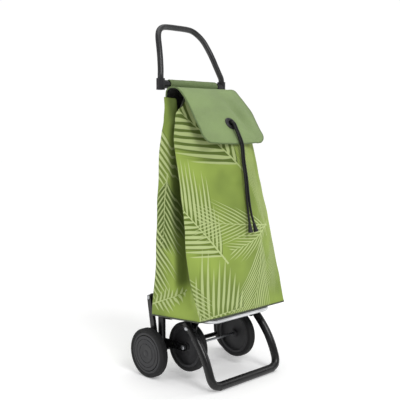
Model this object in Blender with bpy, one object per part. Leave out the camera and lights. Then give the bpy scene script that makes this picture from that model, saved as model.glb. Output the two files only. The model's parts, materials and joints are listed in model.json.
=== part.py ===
"""Wheeled shopping trolley: a tubular frame with a fabric bag, a folding front stand and four wheels.

Units are metres, +Z is up, -Y is the front and +X is the object's own left-hand side seen from behind.
Everything is first laid out with y = 0 on the line of the uprights and of the rear axle. The root
empty then moves the whole trolley so that the world origin is under the middle of its box.
"""

import math

import bmesh
import bpy
from mathutils import Matrix, Vector

# ---- Frame: two uprights, their base brackets and the platform that carries the bag ----
UPRIGHT_X = 0.130
UPRIGHT_RADIUS = 0.008
UPRIGHT_BOTTOM = 0.120
UPRIGHT_TOP = 0.873
TUBE_WALL = 0.0012
FIT_GAP = 0.0003

BRACKET_RADIUS = 0.0115
BRACKET_BOTTOM = 0.0845
BRACKET_TOP = 0.250
LINK_THICKNESS = 0.004
LINK_HEIGHT = 0.024
SOCKET_RADIUS = 0.0100
SOCKET_LENGTH = 0.024

RAIL_X = 0.122
RAIL_RADIUS = 0.008
RAIL_REAR_Z = 0.178
RAIL_FRONT_Y = -0.2155
RAIL_FRONT_Z = 0.200
RAIL_BEND = 0.026

# ---- Handle, crossbar and corner fittings ----
CROSSBAR_Z = 0.884
CROSSBAR_RADIUS = 0.011
FITTING_RADIUS = 0.0125
FITTING_HEIGHT = 0.034
FITTING_REACH = 0.026
CROSSBAR_GRIP = 0.012
HANDLE_RADIUS = 0.009
HANDLE_TOP = 1.066
HANDLE_LEAN = 0.069
SLEEVE_HALF = 0.100
SLEEVE_WALL = 0.0030
SLEEVE_EASE = 0.0015

# ---- Wheels and axles ----
WHEEL_RADIUS = 0.075
WHEEL_WIDTH = 0.026
TYRE_DEPTH = 0.0125
RIM_BAND = 0.0085
HUB_RADIUS = 0.012
HUB_HALF = 0.0118
WEB_THICKNESS = 0.005
RIM_RECESS = 0.0015
RIM_DRAFT = 0.002
AXLE_RADIUS = 0.004
REAR_WHEEL_X = 0.1825
FRONT_WHEEL_X = 0.1055
FRONT_AXLE_Y = -0.0905
FRONT_AXLE_Z = 0.098
CAP_THICKNESS = 0.003
CAP_RECESS = 0.0008

# ---- Swinging rear carriage ----
ARM_X = 0.152
ARM_THICKNESS = 0.010
ARM_WIDTH = 0.012
ARM_PIVOT_Y = 0.030
ARM_PIVOT_Z = 0.236
REAR_TUBE_RADIUS = 0.007

# ---- Folding front stand ----
STAND_X = 0.1442
STAND_RADIUS = 0.0125
STAND_PIVOT_Y = -0.1375
STAND_PIVOT_Z = 0.171
STAND_FOOT_Y = -0.2335
HINGE_PLATE = 0.004
HINGE_PLATE_X = 0.1235

# ---- Bag, flap and drawstring ----
BAG_REAR_Y = -0.0128
BAG_FRONT_Y = -0.246
BAG_BOTTOM = 0.196
BAG_RISE = 0.0160
BAG_TOP = 0.845
BAG_SIDE_TOP = 0.700
BAG_HALF_WIDTH = 0.193
BAG_WALL = 0.003
BOARD_THICKNESS = 0.003
FLAP_THICKNESS = 0.0035
FLAP_HINGE_Y = -0.040
FLAP_HINGE_Z = 0.8745
EYELET_T = 0.63
EYELET_RADIUS = 0.021
EYELET_HOLE = 0.0095
CORD_RADIUS = 0.0033
CORD_END_LENGTH = 0.027
CORD_END_RADIUS = 0.0085

STAND_FOOT_Z = STAND_RADIUS * math.cos(math.pi / 16)
ORIGIN_SHIFT = -(BAG_FRONT_Y + WHEEL_RADIUS) / 2

# Height, rear half-width, front half-width, front edge y, front middle y, depth of the side fold.
# Widths are shares of BAG_HALF_WIDTH, and the y values are shares of the depth at the bottom.
BAG_LEVELS = (
    (0.00, 0.974, 0.964, 0.912, 0.921, 0.000),
    (0.08, 0.949, 0.982, 0.851, 0.959, 0.022),
    (0.14, 0.928, 0.994, 0.802, 0.981, 0.034),
    (0.24, 0.892, 0.997, 0.723, 0.998, 0.040),
    (0.34, 0.876, 0.982, 0.657, 0.994, 0.044),
    (0.41, 0.866, 0.960, 0.622, 0.976, 0.046),
    (0.47, 0.858, 0.942, 0.586, 0.955, 0.048),
    (0.53, 0.848, 0.926, 0.539, 0.931, 0.050),
    (0.59, 0.834, 0.911, 0.498, 0.904, 0.052),
    (0.65, 0.815, 0.895, 0.458, 0.869, 0.054),
    (0.69, 0.802, 0.890, 0.428, 0.848, 0.055),
    (0.78, 0.769, 0.877, 0.366, 0.783, 0.056),
    (0.84, 0.731, 0.859, 0.341, 0.657, 0.056),
    (0.90, 0.678, 0.813, 0.331, 0.541, 0.056),
    (0.95, 0.681, 0.700, 0.322, 0.417, 0.056),
    (1.00, 0.699, 0.560, 0.284, 0.299, 0.054),
)

# The y and z of the flap's middle line, from the ridge down to the front edge, and its half-width there.
FLAP_LINE = (
    (-0.0400, 0.8745),
    (-0.0670, 0.8700),
    (-0.0930, 0.8500),
    (-0.1180, 0.8255),
    (-0.1370, 0.8030),
    (-0.1560, 0.7780),
    (-0.1690, 0.7600),
    (-0.1830, 0.7400),
    (-0.1950, 0.7230),
    (-0.2040, 0.7090),
)
FLAP_WIDTHS = (0.124, 0.122, 0.121, 0.124, 0.127, 0.128, 0.127, 0.124, 0.117, 0.098)
FLAP_ROOT_LINE = (
    (-0.0165, 0.8490),
    (-0.0175, 0.8590),
    (-0.0220, 0.8670),
    (-0.0300, 0.8720),
    (-0.0380, 0.8741),
)

# The two drawstring strands come out of the eyelet and hang down the front of the bag.
# Each row is how far a strand lies from the middle, its y and its z.
CORD_ROUTE = (
    (0.0038, -0.1560, 0.7608),
    (0.0038, -0.1641, 0.7667),
    (0.0038, -0.1703, 0.7693),
    (0.0038, -0.1770, 0.7673),
    (0.0038, -0.1820, 0.7605),
    (0.0038, -0.1868, 0.7521),
    (0.0038, -0.1938, 0.7398),
    (0.0039, -0.2020, 0.7250),
    (0.0040, -0.2098, 0.7080),
    (0.0040, -0.2135, 0.6880),
    (0.0040, -0.2165, 0.6600),
    (0.0042, -0.2266, 0.6100),
    (0.0046, -0.2342, 0.5550),
    (0.0062, -0.2420, 0.5080),
    (0.0092, -0.2500, 0.4780),
)

SIDES = (("left", 1), ("right", -1))


# ---------------------------------------------------------------- helpers


def clear_scene():
    for obj in list(bpy.data.objects):
        bpy.data.objects.remove(obj, do_unlink=True)


def material(name, colour, roughness, metallic=0.0):
    made = bpy.data.materials.new(name)
    made.use_nodes = True
    shader = made.node_tree.nodes["Principled BSDF"]
    shader.inputs["Base Color"].default_value = (*colour, 1.0)
    shader.inputs["Roughness"].default_value = roughness
    shader.inputs["Metallic"].default_value = metallic
    return made


def empty(name, place, parent=None):
    made = bpy.data.objects.new(name, None)
    bpy.context.scene.collection.objects.link(made)
    made.empty_display_size = 0.03
    if parent:
        made.parent = parent
        made["layout"] = Vector(place)
        made.location = Vector(place) - Vector(parent.get("layout", (0, 0, 0)))
    else:
        made["layout"] = Vector((0, 0, 0))
        made.location = place
    return made


def add(name, shape, paint, parent, origin=(0, 0, 0)):
    """Link the bmesh as an object whose origin is at a point of the layout, under a parent empty."""
    bmesh.ops.recalc_face_normals(shape, faces=shape.faces)
    if shape.calc_volume(signed=True) < 0:
        bmesh.ops.reverse_faces(shape, faces=shape.faces)
    bmesh.ops.translate(shape, verts=shape.verts, vec=-Vector(origin))
    mesh = bpy.data.meshes.new(name)
    shape.to_mesh(mesh)
    shape.free()
    mesh.shade_smooth()
    mesh.set_sharp_from_angle(angle=math.radians(40))
    made = bpy.data.objects.new(name, mesh)
    bpy.context.scene.collection.objects.link(made)
    made.parent = parent
    made.location = Vector(origin) - Vector(parent["layout"])
    made.data.materials.append(paint)
    return made


def helper(name, shape, parent):
    made = add(name, shape, bpy.data.materials["powder_black"], parent)
    made.hide_render = True
    made.display_type = "WIRE"
    return made


def boolean(target, other, operation):
    cut = target.modifiers.new(operation.title(), "BOOLEAN")
    cut.operation = operation
    cut.solver = "EXACT"
    cut.object = other


def smooth_path(points, steps):
    """Points on a Catmull-Rom curve through the given ones, with this many steps in each span."""
    ends = [Vector(points[0]) * 2 - Vector(points[1]), Vector(points[-1]) * 2 - Vector(points[-2])]
    knots = [ends[0], *map(Vector, points), ends[1]]
    path = []
    for i in range(1, len(knots) - 2):
        a, b, c, d = knots[i - 1 : i + 3]
        for step in range(steps):
            t = step / steps
            path.append(
                0.5 * (2 * b + (c - a) * t + (2 * a - 5 * b + 4 * c - d) * t**2 + (3 * b - a - 3 * c + d) * t**3)
            )
    path.append(knots[-2])
    return path


def rings_along(path, normal, start):
    """The frame (point, side, up) at each point, carried both ways from the start without twist."""
    tangents = []
    for i, here in enumerate(path):
        before = path[max(i - 1, 0)]
        after = path[min(i + 1, len(path) - 1)]
        tangents.append((after - before).normalized())
    ups = [None] * len(path)
    first = Vector(normal)
    ups[start] = (first - tangents[start] * first.dot(tangents[start])).normalized()
    order = [(i, i - 1) for i in range(start + 1, len(path))] + [(i, i + 1) for i in range(start - 1, -1, -1)]
    for here, before in order:
        turn = tangents[before].rotation_difference(tangents[here])
        ups[here] = turn @ ups[before]
    return [(path[i], tangents[i].cross(ups[i]), ups[i]) for i in range(len(path))]


def tube(path, radius, wall=0.0, sides=16, normal=(0, 0, 1), start=0):
    """A round tube along a path, with a facet facing the normal. A wall of 0 makes a solid rod."""
    shape = bmesh.new()
    frames = rings_along(path, normal, start)
    skins = []
    for size in (radius, radius - wall) if wall else (radius,):
        rings = []
        for place, side, up in frames:
            ring = []
            for k in range(sides):
                angle = 2 * math.pi * (k + 0.5) / sides
                ring.append(shape.verts.new(place + (side * math.sin(angle) + up * math.cos(angle)) * size))
            rings.append(ring)
        for lower, upper in zip(rings, rings[1:]):
            for k in range(sides):
                n = (k + 1) % sides
                shape.faces.new((lower[k], lower[n], upper[n], upper[k]))
        skins.append(rings)
    for end in (0, -1):
        if wall:
            outer, inner = skins[0][end], skins[1][end]
            for k in range(sides):
                n = (k + 1) % sides
                shape.faces.new((outer[k], outer[n], inner[n], inner[k]))
        else:
            shape.faces.new(skins[0][end])
    return shape


def lathe(profile, centre, axis=(1, 0, 0), segments=24, closed=True):
    """Turn (along, radius) points about an axis through the centre. Points of radius 0 are single."""
    shape = bmesh.new()
    along = Vector(axis).normalized()
    across = along.orthogonal().normalized()
    third = along.cross(across)
    if abs(along.x) > 0.9:
        across, third = Vector((0, 0, 1)), along.cross(Vector((0, 0, 1)))
    rings = []
    for distance, radius in profile:
        middle = Vector(centre) + along * distance
        if radius < 1e-6:
            rings.append([shape.verts.new(middle)] * segments)
            continue
        turns = [2 * math.pi * k / segments for k in range(segments)]
        rings.append([shape.verts.new(middle + (across * math.cos(a) + third * math.sin(a)) * radius) for a in turns])
    pairs = list(zip(rings, rings[1:]))
    if closed:
        pairs.append((rings[-1], rings[0]))
    for one, two in pairs:
        for k in range(segments):
            n = (k + 1) % segments
            corners = []
            for vert in (one[k], one[n], two[n], two[k]):
                if vert not in corners:
                    corners.append(vert)
            if len(corners) > 2:
                shape.faces.new(corners)
    return shape


def rod(start, end, radius, sides=24):
    """A solid cylinder between two points."""
    run = Vector(end) - Vector(start)
    shape = bmesh.new()
    middle = Matrix.Translation((Vector(start) + Vector(end)) / 2)
    turned = run.to_track_quat("Z", "Y").to_matrix().to_4x4() @ Matrix.Rotation(0.11, 4, "Z")
    bmesh.ops.create_cone(
        shape, cap_ends=True, segments=sides, radius1=radius, radius2=radius, depth=run.length, matrix=middle @ turned
    )
    return shape


def plate(outline, low_x, high_x):
    """A (y, z) outline made solid between two x values."""
    shape = bmesh.new()
    base = [shape.verts.new((low_x, y, z)) for y, z in outline]
    face = shape.faces.new(base)
    pushed = bmesh.ops.extrude_face_region(shape, geom=[face])["geom"]
    moved = [item for item in pushed if isinstance(item, bmesh.types.BMVert)]
    bmesh.ops.translate(shape, verts=moved, vec=(high_x - low_x, 0, 0))
    return shape


def slot_outline(one, two, radius_one, radius_two, steps=8):
    """The outline of a bar with round ends of two radii, centred on two (y, z) points."""
    heading = math.atan2(two[1] - one[1], two[0] - one[0])
    points = []
    for (y, z), radius, back in ((two, radius_two, 0.0), (one, radius_one, math.pi)):
        for k in range(steps + 1):
            angle = heading + back - math.pi / 2 + math.pi * k / steps
            points.append((y + radius * math.cos(angle), z + radius * math.sin(angle)))
    return points


# ---------------------------------------------------------------- frame


def rail_z(y):
    """Height of the platform rail's middle, which rises towards the front."""
    return RAIL_REAR_Z + (RAIL_FRONT_Z - RAIL_REAR_Z) * y / RAIL_FRONT_Y


def rail_end_y():
    return -UPRIGHT_RADIUS - 0.0015


def make_uprights(root, paint):
    for side, sign in SIDES:
        x = sign * UPRIGHT_X
        path = [Vector((x, 0, UPRIGHT_BOTTOM)), Vector((x, 0, UPRIGHT_TOP))]
        add(f"upright_{side}", tube(path, UPRIGHT_RADIUS, TUBE_WALL, normal=(0, 1, 0)), paint, root)


def make_base_brackets(root, paint):
    link_x = FRONT_WHEEL_X + WHEEL_WIDTH / 2 + 0.0015
    pin_radius = AXLE_RADIUS + FIT_GAP
    for side, sign in SIDES:
        x = sign * UPRIGHT_X
        sleeve = rod((x, 0, BRACKET_BOTTOM), (x, 0, BRACKET_TOP), BRACKET_RADIUS)
        bracket = add(f"base_bracket_{side}", sleeve, paint, root)
        z = BRACKET_BOTTOM + LINK_HEIGHT / 2 + 0.0006
        outline = slot_outline((-0.001, z), (FRONT_AXLE_Y, FRONT_AXLE_Z), LINK_HEIGHT / 2, LINK_HEIGHT / 2)
        edges = sorted((sign * link_x, sign * (link_x + LINK_THICKNESS)))
        boss = slot_outline((0.001, ARM_PIVOT_Z), (ARM_PIVOT_Y, ARM_PIVOT_Z), 0.0105, 0.0105)
        boss_edges = sorted((sign * (UPRIGHT_X - 0.0095), sign * (ARM_X - ARM_THICKNESS / 2 - 0.0005)))
        socket = rod(
            (sign * RAIL_X, -0.001, rail_z(-0.001)),
            (sign * RAIL_X, -BRACKET_RADIUS - SOCKET_LENGTH, rail_z(-BRACKET_RADIUS - SOCKET_LENGTH)),
            SOCKET_RADIUS,
        )
        for part, shape in (("link", plate(outline, *edges)), ("boss", plate(boss, *boss_edges)), ("socket", socket)):
            boolean(bracket, helper(f"{part}_{side}", shape, root), "UNION")
        rail_start = rail_end_y() + FIT_GAP
        cuts = (
            ("upright_bore", (x, 0, UPRIGHT_BOTTOM - FIT_GAP), (x, 0, 1.0), UPRIGHT_RADIUS + FIT_GAP),
            (
                "rail_bore",
                (sign * RAIL_X, rail_start, rail_z(rail_start)),
                (sign * RAIL_X, -0.1, rail_z(-0.1)),
                RAIL_RADIUS + FIT_GAP,
            ),
            ("axle_bore", (0, FRONT_AXLE_Y, FRONT_AXLE_Z), (sign * 0.2, FRONT_AXLE_Y, FRONT_AXLE_Z), pin_radius),
            ("pin_bore", (0, ARM_PIVOT_Y, ARM_PIVOT_Z), (sign * 0.2, ARM_PIVOT_Y, ARM_PIVOT_Z), pin_radius),
        )
        for part, start, end, radius in cuts:
            boolean(bracket, helper(f"{part}_{side}", rod(start, end, radius), root), "DIFFERENCE")


def make_platform_rail(root, paint):
    bend_start = RAIL_FRONT_Y + RAIL_BEND
    half = [Vector((RAIL_X, rail_end_y(), rail_z(rail_end_y())))]
    for k in range(7):
        angle = math.pi / 2 * k / 6
        x = RAIL_X - RAIL_BEND * (1 - math.cos(angle))
        y = bend_start - RAIL_BEND * math.sin(angle)
        half.append(Vector((x, y, rail_z(y))))
    path = half + [Vector((-p.x, p.y, p.z)) for p in reversed(half)]
    add("platform_rail", tube(path, RAIL_RADIUS, TUBE_WALL, normal=(0, 0, 1)), paint, root)


def make_stand_hinges(root, paint, bolt_paint):
    """The plates under the platform rail that the folding stand turns on, and its two bolts."""
    top = rail_z(STAND_PIVOT_Y) - RAIL_RADIUS - 0.0025
    for side, sign in SIDES:
        low = (STAND_PIVOT_Y, STAND_PIVOT_Z)
        outline = [(STAND_PIVOT_Y + 0.020, top), (STAND_PIVOT_Y - 0.020, top + 0.0032)]
        for k in range(9):
            angle = math.pi + math.pi * k / 8
            outline.append((low[0] + 0.011 * math.cos(angle), low[1] - 0.003 + 0.011 * math.sin(angle)))
        edges = sorted((sign * HINGE_PLATE_X, sign * (HINGE_PLATE_X + HINGE_PLATE)))
        hinge = add(f"stand_hinge_{side}", plate(outline, *edges), paint, root)
        hole = rod((0, *low), (sign * 0.2, *low), AXLE_RADIUS + FIT_GAP)
        boolean(hinge, helper(f"stand_hinge_hole_{side}", hole, root), "DIFFERENCE")
        inner = HINGE_PLATE_X - FIT_GAP
        outer = STAND_X + STAND_RADIUS + FIT_GAP
        head = 0.0065
        profile = (
            (inner - 0.003, 0),
            (inner - 0.003, head),
            (inner, head),
            (inner, AXLE_RADIUS),
            (outer, AXLE_RADIUS),
            (outer, head),
            (outer + 0.0022, head * 0.86),
            (outer + 0.0036, head * 0.45),
            (outer + 0.0038, 0),
        )
        add(f"stand_bolt_{side}", lathe(profile, (0, *low), (sign, 0, 0), 20, closed=False), bolt_paint, root)


def make_stand(root, paint):
    """The bent tube that the trolley stands on. Its foot bar has a flat land on the floor."""
    pivot = (0, STAND_PIVOT_Y, STAND_PIVOT_Z)
    drop = STAND_PIVOT_Z - STAND_FOOT_Z
    reach = STAND_FOOT_Y - STAND_PIVOT_Y
    knots = [
        (1.0, -0.135, -0.082),
        (1.0, 0.18, 0.11),
        (1.0, 0.385, 0.245),
        (1.0, 0.568, 0.390),
        (1.0, 0.720, 0.548),
        (1.0, 0.840, 0.713),
        (0.992, 0.925, 0.855),
        (0.935, 0.975, 0.950),
        (0.815, 0.996, 0.993),
        (0.680, 1.0, 1.0),
    ]
    half = [(STAND_X * a, STAND_PIVOT_Y + reach * b, STAND_PIVOT_Z - drop * c) for a, b, c in knots]
    half = smooth_path(half, 2)
    path = half + [Vector((-p.x, p.y, p.z)) for p in reversed(half)]
    shape = tube(path, STAND_RADIUS, 0.0016, normal=(0, 0, -1), start=len(half) - 1)
    stand = add("folding_stand", shape, paint, root, pivot)
    for side, sign in SIDES:
        hole = rod((sign * 0.12, *pivot[1:]), (sign * 0.17, *pivot[1:]), AXLE_RADIUS + FIT_GAP)
        boolean(stand, helper(f"stand_hole_{side}", hole, root), "DIFFERENCE")


# ---------------------------------------------------------------- handle


def make_fittings(root, paint):
    """Corner pieces that join each upright to the handle and to the crossbar."""
    for side, sign in SIDES:
        x = sign * UPRIGHT_X
        low, high = CROSSBAR_Z - FITTING_HEIGHT / 2, CROSSBAR_Z + FITTING_HEIGHT / 2
        fitting = add(f"corner_fitting_{side}", rod((x, 0, low), (x, 0, high), FITTING_RADIUS + 0.0004), paint, root)
        inner = sign * (UPRIGHT_X - FITTING_REACH)
        stub = rod((x + sign * 0.0031, 0, CROSSBAR_Z), (inner, 0, CROSSBAR_Z), FITTING_RADIUS, 22)
        boolean(fitting, helper(f"fitting_stub_{side}", stub, root), "UNION")
        cuts = (
            ("foot_bore", (x, 0, low - 0.01), (x, 0, UPRIGHT_TOP + FIT_GAP), UPRIGHT_RADIUS + FIT_GAP),
            ("handle_bore", (x, 0, handle_foot() - FIT_GAP), (x, 0, high + 0.01), HANDLE_RADIUS + FIT_GAP),
            (
                "crossbar_bore",
                (inner - sign * 0.01, 0, CROSSBAR_Z),
                (inner + sign * (CROSSBAR_GRIP + FIT_GAP), 0, CROSSBAR_Z),
                CROSSBAR_RADIUS + FIT_GAP,
            ),
        )
        for part, start, end, radius in cuts:
            boolean(fitting, helper(f"{part}_{side}", rod(start, end, radius), root), "DIFFERENCE")


def handle_foot():
    return CROSSBAR_Z + 0.0068


def make_crossbar(root, paint, fabric):
    half = UPRIGHT_X - FITTING_REACH + CROSSBAR_GRIP
    ends = [Vector((-half, 0, CROSSBAR_Z)), Vector((half, 0, CROSSBAR_Z))]
    add("crossbar", tube(ends, CROSSBAR_RADIUS, 0.0015), paint, root)
    sleeve = SLEEVE_WALL + SLEEVE_EASE + CROSSBAR_RADIUS
    ends = [Vector((-SLEEVE_HALF, 0, CROSSBAR_Z)), Vector((SLEEVE_HALF, 0, CROSSBAR_Z))]
    add("crossbar_sleeve", tube(ends, sleeve, SLEEVE_WALL), fabric, root)


def make_handle(root, paint):
    """The arched handle. It rises from the corner fittings and leans back as it goes up."""
    rise = HANDLE_TOP - handle_foot()
    knots = (
        (1.000, 0.00, 0.00),
        (1.000, 0.00, 0.045),
        (1.000, 0.00, 0.080),
        (0.990, 0.02, 0.130),
        (0.960, 0.08, 0.205),
        (0.912, 0.20, 0.340),
        (0.866, 0.33, 0.480),
        (0.818, 0.48, 0.618),
        (0.762, 0.65, 0.755),
        (0.712, 0.76, 0.835),
        (0.640, 0.87, 0.905),
        (0.535, 0.95, 0.963),
        (0.400, 0.99, 0.992),
        (0.200, 1.00, 1.000),
    )
    half = [(UPRIGHT_X * a, HANDLE_LEAN * b, handle_foot() + rise * c) for a, b, c in knots]
    other = [(-x, y, z) for x, y, z in reversed(half)]
    path = smooth_path([*half, (0, HANDLE_LEAN, HANDLE_TOP), *other], 2)
    add("handle", tube(path, HANDLE_RADIUS, 0.0015, 14, normal=(0, 1, 0)), paint, root)


# ---------------------------------------------------------------- wheels


def tyre_profile():
    half = WHEEL_WIDTH / 2
    inner = WHEEL_RADIUS - TYRE_DEPTH
    shoulder = 0.006
    points = [(-half, inner)]
    for k in range(4):
        angle = math.pi / 2 * k / 3
        across = half - shoulder * (1 - math.cos(angle))
        points.append((-across, WHEEL_RADIUS - shoulder * (1 - math.sin(angle))))
    return points + [(-x, r) for x, r in reversed(points)]


def rim_profile(outer_hub):
    """A rim band, a thin web and a hub, which reaches out as far as outer_hub."""
    outer = WHEEL_RADIUS - TYRE_DEPTH - FIT_GAP
    inner = outer - RIM_BAND
    band = WHEEL_WIDTH / 2 - RIM_RECESS
    web = WEB_THICKNESS / 2
    bore = AXLE_RADIUS + FIT_GAP
    half = [(web, HUB_RADIUS + RIM_DRAFT), (web, inner), (band, inner + RIM_DRAFT), (band, outer)]
    hub = [(outer_hub, bore), (outer_hub, HUB_RADIUS)]
    far_hub = [(-HUB_HALF, HUB_RADIUS), (-HUB_HALF, bore)]
    return hub + half + [(-x, r) for x, r in reversed(half)] + far_hub


def cap_back():
    """How far the back of a rear wheel's cap lies out from the middle of the wheel."""
    return WHEEL_WIDTH / 2 - CAP_RECESS - CAP_THICKNESS


def make_wheel(name, centre, outward, outer_hub, parent, paints):
    rim = lathe(rim_profile(outer_hub), centre, (outward, 0, 0), 28)
    add(f"{name}_tyre", lathe(tyre_profile(), centre, (outward, 0, 0), 32), paints[0], parent, centre)
    add(f"{name}_rim", rim, paints[1], parent, centre)


def make_cap(name, centre, outward, parent, paint):
    """The cover over the hub of a rear wheel, with one turned groove."""
    radius = WHEEL_RADIUS - TYRE_DEPTH - RIM_BAND - 2 * FIT_GAP
    face = WHEEL_WIDTH / 2 - CAP_RECESS
    profile = (
        (cap_back(), 0),
        (cap_back(), radius),
        (face - 0.0008, radius),
        (face, radius - 0.001),
        (face, radius * 0.80),
        (face - 0.0012, radius * 0.785),
        (face, radius * 0.77),
        (face + 0.0006, 0),
    )
    add(name, lathe(profile, centre, (outward, 0, 0), 28, closed=False), paint, parent, centre)


def nut_profile(start, rod_end):
    """A domed nut whose blind bore takes the end of an axle."""
    bore = AXLE_RADIUS + FIT_GAP
    return (
        (rod_end + FIT_GAP, 0),
        (rod_end + FIT_GAP, bore),
        (start, bore),
        (start, 0.0068),
        (start + 0.004, 0.0068),
        (start + 0.0062, 0.0048),
        (start + 0.007, 0),
    )


def make_front_wheels(root, paints):
    link_x = FRONT_WHEEL_X + WHEEL_WIDTH / 2 + 0.0015
    end = link_x + LINK_THICKNESS + 0.004
    ends = [Vector((-end, FRONT_AXLE_Y, FRONT_AXLE_Z)), Vector((end, FRONT_AXLE_Y, FRONT_AXLE_Z))]
    add("front_axle", tube(ends, AXLE_RADIUS, sides=20), paints["steel"], root)
    for side, sign in SIDES:
        start = link_x + LINK_THICKNESS + FIT_GAP
        nut = lathe(nut_profile(start, end), (0, FRONT_AXLE_Y, FRONT_AXLE_Z), (sign, 0, 0), 20, closed=False)
        add(f"front_axle_nut_{side}", nut, paints["steel"], root)
        centre = (sign * FRONT_WHEEL_X, FRONT_AXLE_Y, FRONT_AXLE_Z)
        make_wheel(f"front_wheel_{side}", centre, sign, HUB_HALF, root, (paints["tyre"], paints["rim"]))


def make_carriage(root, paints):
    """The rear axle and its arms, which swing back about pins through the base brackets."""
    pivot = (0, ARM_PIVOT_Y, ARM_PIVOT_Z)
    carriage = empty("rear_carriage_pivot", pivot, root)
    inner = ARM_X - ARM_THICKNESS / 2
    outer = ARM_X + ARM_THICKNESS / 2
    bore = AXLE_RADIUS + FIT_GAP
    tube_half = inner - FIT_GAP
    ends = [Vector((-tube_half, 0, WHEEL_RADIUS)), Vector((tube_half, 0, WHEEL_RADIUS))]
    add("rear_axle_tube", tube(ends, REAR_TUBE_RADIUS, 0.0022, 20), paints["black"], carriage, pivot)
    hub = cap_back() - FIT_GAP
    spindle = REAR_WHEEL_X + hub - FIT_GAP
    ends = [Vector((-spindle, 0, WHEEL_RADIUS)), Vector((spindle, 0, WHEEL_RADIUS))]
    add("rear_spindle", tube(ends, AXLE_RADIUS, sides=20), paints["steel"], carriage, pivot)
    for side, sign in SIDES:
        outline = slot_outline((0, WHEEL_RADIUS), pivot[1:], ARM_WIDTH / 2 + 0.004, ARM_WIDTH / 2 + 0.002)
        edges = sorted((sign * inner, sign * outer))
        arm = add(f"carriage_arm_{side}", plate(outline, *edges), paints["black"], carriage, pivot)
        for part, place in (("spindle_hole", (0, WHEEL_RADIUS)), ("pin_hole", pivot[1:])):
            hole = rod((sign * 0.1, *place), (sign * 0.2, *place), bore)
            boolean(arm, helper(f"arm_{part}_{side}", hole, root), "DIFFERENCE")
        near = outer + FIT_GAP
        far = REAR_WHEEL_X - HUB_HALF - 0.0006
        ring = ((near, bore), (near, 0.0085), (far, 0.0065), (far, bore))
        spacer = lathe(ring, (0, 0, WHEEL_RADIUS), (sign, 0, 0), 20)
        add(f"rear_spacer_{side}", spacer, paints["black"], carriage, pivot)
        pin_inner = UPRIGHT_X - 0.0095 - FIT_GAP
        profile = (
            (pin_inner - 0.002, 0),
            (pin_inner - 0.002, 0.0062),
            (pin_inner, 0.0062),
            (pin_inner, AXLE_RADIUS),
            (outer + FIT_GAP, AXLE_RADIUS),
            (outer + FIT_GAP, 0.0062),
            (outer + 0.0022, 0.0052),
            (outer + 0.0028, 0),
        )
        pin = lathe(profile, (0, *pivot[1:]), (sign, 0, 0), 20, closed=False)
        add(f"carriage_pin_{side}", pin, paints["steel"], root)
        centre = (sign * REAR_WHEEL_X, 0, WHEEL_RADIUS)
        make_wheel(f"rear_wheel_{side}", centre, sign, hub, carriage, (paints["tyre"], paints["rim"]))
        make_cap(f"rear_wheel_{side}_cap", centre, sign, carriage, paints["rim"])


# ---------------------------------------------------------------- bag


def bag_size(height):
    """Widths, depths and fold of the bag at a share of its height, between the rows of BAG_LEVELS."""
    height = min(max(height, 0.0), 1.0)
    for low, high in zip(BAG_LEVELS, BAG_LEVELS[1:]):
        if height <= high[0]:
            break
    t = (height - low[0]) / (high[0] - low[0])
    rear, front, edge, middle, fold = (a + (b - a) * t for a, b in zip(low[1:], high[1:]))
    depth = BAG_FRONT_Y - BAG_REAR_Y
    return (
        BAG_HALF_WIDTH * rear,
        BAG_HALF_WIDTH * front,
        BAG_REAR_Y + depth * edge,
        BAG_REAR_Y + depth * middle,
        fold,
    )


def bag_columns():
    """One half of the bag's outline: (kind, share) from the middle of the back to the middle front."""
    columns = [("back", 0.0), ("back", 0.5), ("back", 0.94)]
    columns += [("rear_half", t) for t in (0.04, 0.35, 0.7, 0.97)]
    columns += [("front_half", t) for t in (0.03, 0.3, 0.65, 0.96)]
    columns += [("front", t) for t in (0.03, 0.16, 0.34, 0.54, 0.74, 0.92)]
    return columns


def bag_point(kind, share, height):
    rear, front, edge, middle, fold = bag_size(height)
    valley = Vector((min(rear, front) - fold, BAG_REAR_Y + (edge - BAG_REAR_Y) * 0.50))
    back = Vector((rear, BAG_REAR_Y))
    corner = Vector((front, edge))
    if kind == "back":
        return Vector((rear * share, BAG_REAR_Y))
    if kind == "rear_half":
        return back.lerp(valley, share)
    if kind == "front_half":
        return valley.lerp(corner, share)
    return Vector((front * (1 - share), edge + (middle - edge) * (1 - (1 - share) ** 2)))


def bag_top_of(kind, share):
    """The mouth is high at the back and the front and dips at the side folds."""
    drop = BAG_TOP - BAG_SIDE_TOP
    if kind == "rear_half":
        return BAG_TOP - drop * share**4
    if kind == "front_half":
        return BAG_SIDE_TOP + drop * share**0.7
    return BAG_TOP


def bag_loop(height_of, inset=0.0):
    """The bag's closed outline as 3-D points, its height given for each column."""
    half = bag_columns()
    columns = [(1, *c) for c in half] + [(-1, *c) for c in reversed(half) if c[1:] != (0.0,) or c[0] != "back"]
    flat, levels = [], []
    for sign, kind, share in columns:
        level = height_of(kind, share)
        point = bag_point(kind, share, (level - BAG_BOTTOM) / (BAG_TOP - BAG_BOTTOM))
        flat.append(Vector((sign * point.x, point.y)))
        levels.append(level)
    count = len(flat)
    moved = []
    for i, here in enumerate(flat):
        one = (here - flat[i - 1]).normalized()
        two = (flat[(i + 1) % count] - here).normalized()
        normal = Vector((-(one.y + two.y), one.x + two.x))
        stretch = max(normal.length, 0.9)
        moved.append(here + normal.normalized() * inset * 2 / stretch)
    return [Vector((p.x, p.y, tilted(p.y, z))) for p, z in zip(moved, levels)]


def tilted(y, z):
    """The bottom rises to the front with the platform. The rise fades out over the lower fifth."""
    share = max(0.0, 1 - (z - BAG_BOTTOM) / 0.14)
    return z + BAG_RISE * share * (BAG_REAR_Y - y) / (BAG_REAR_Y - BAG_FRONT_Y)


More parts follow.
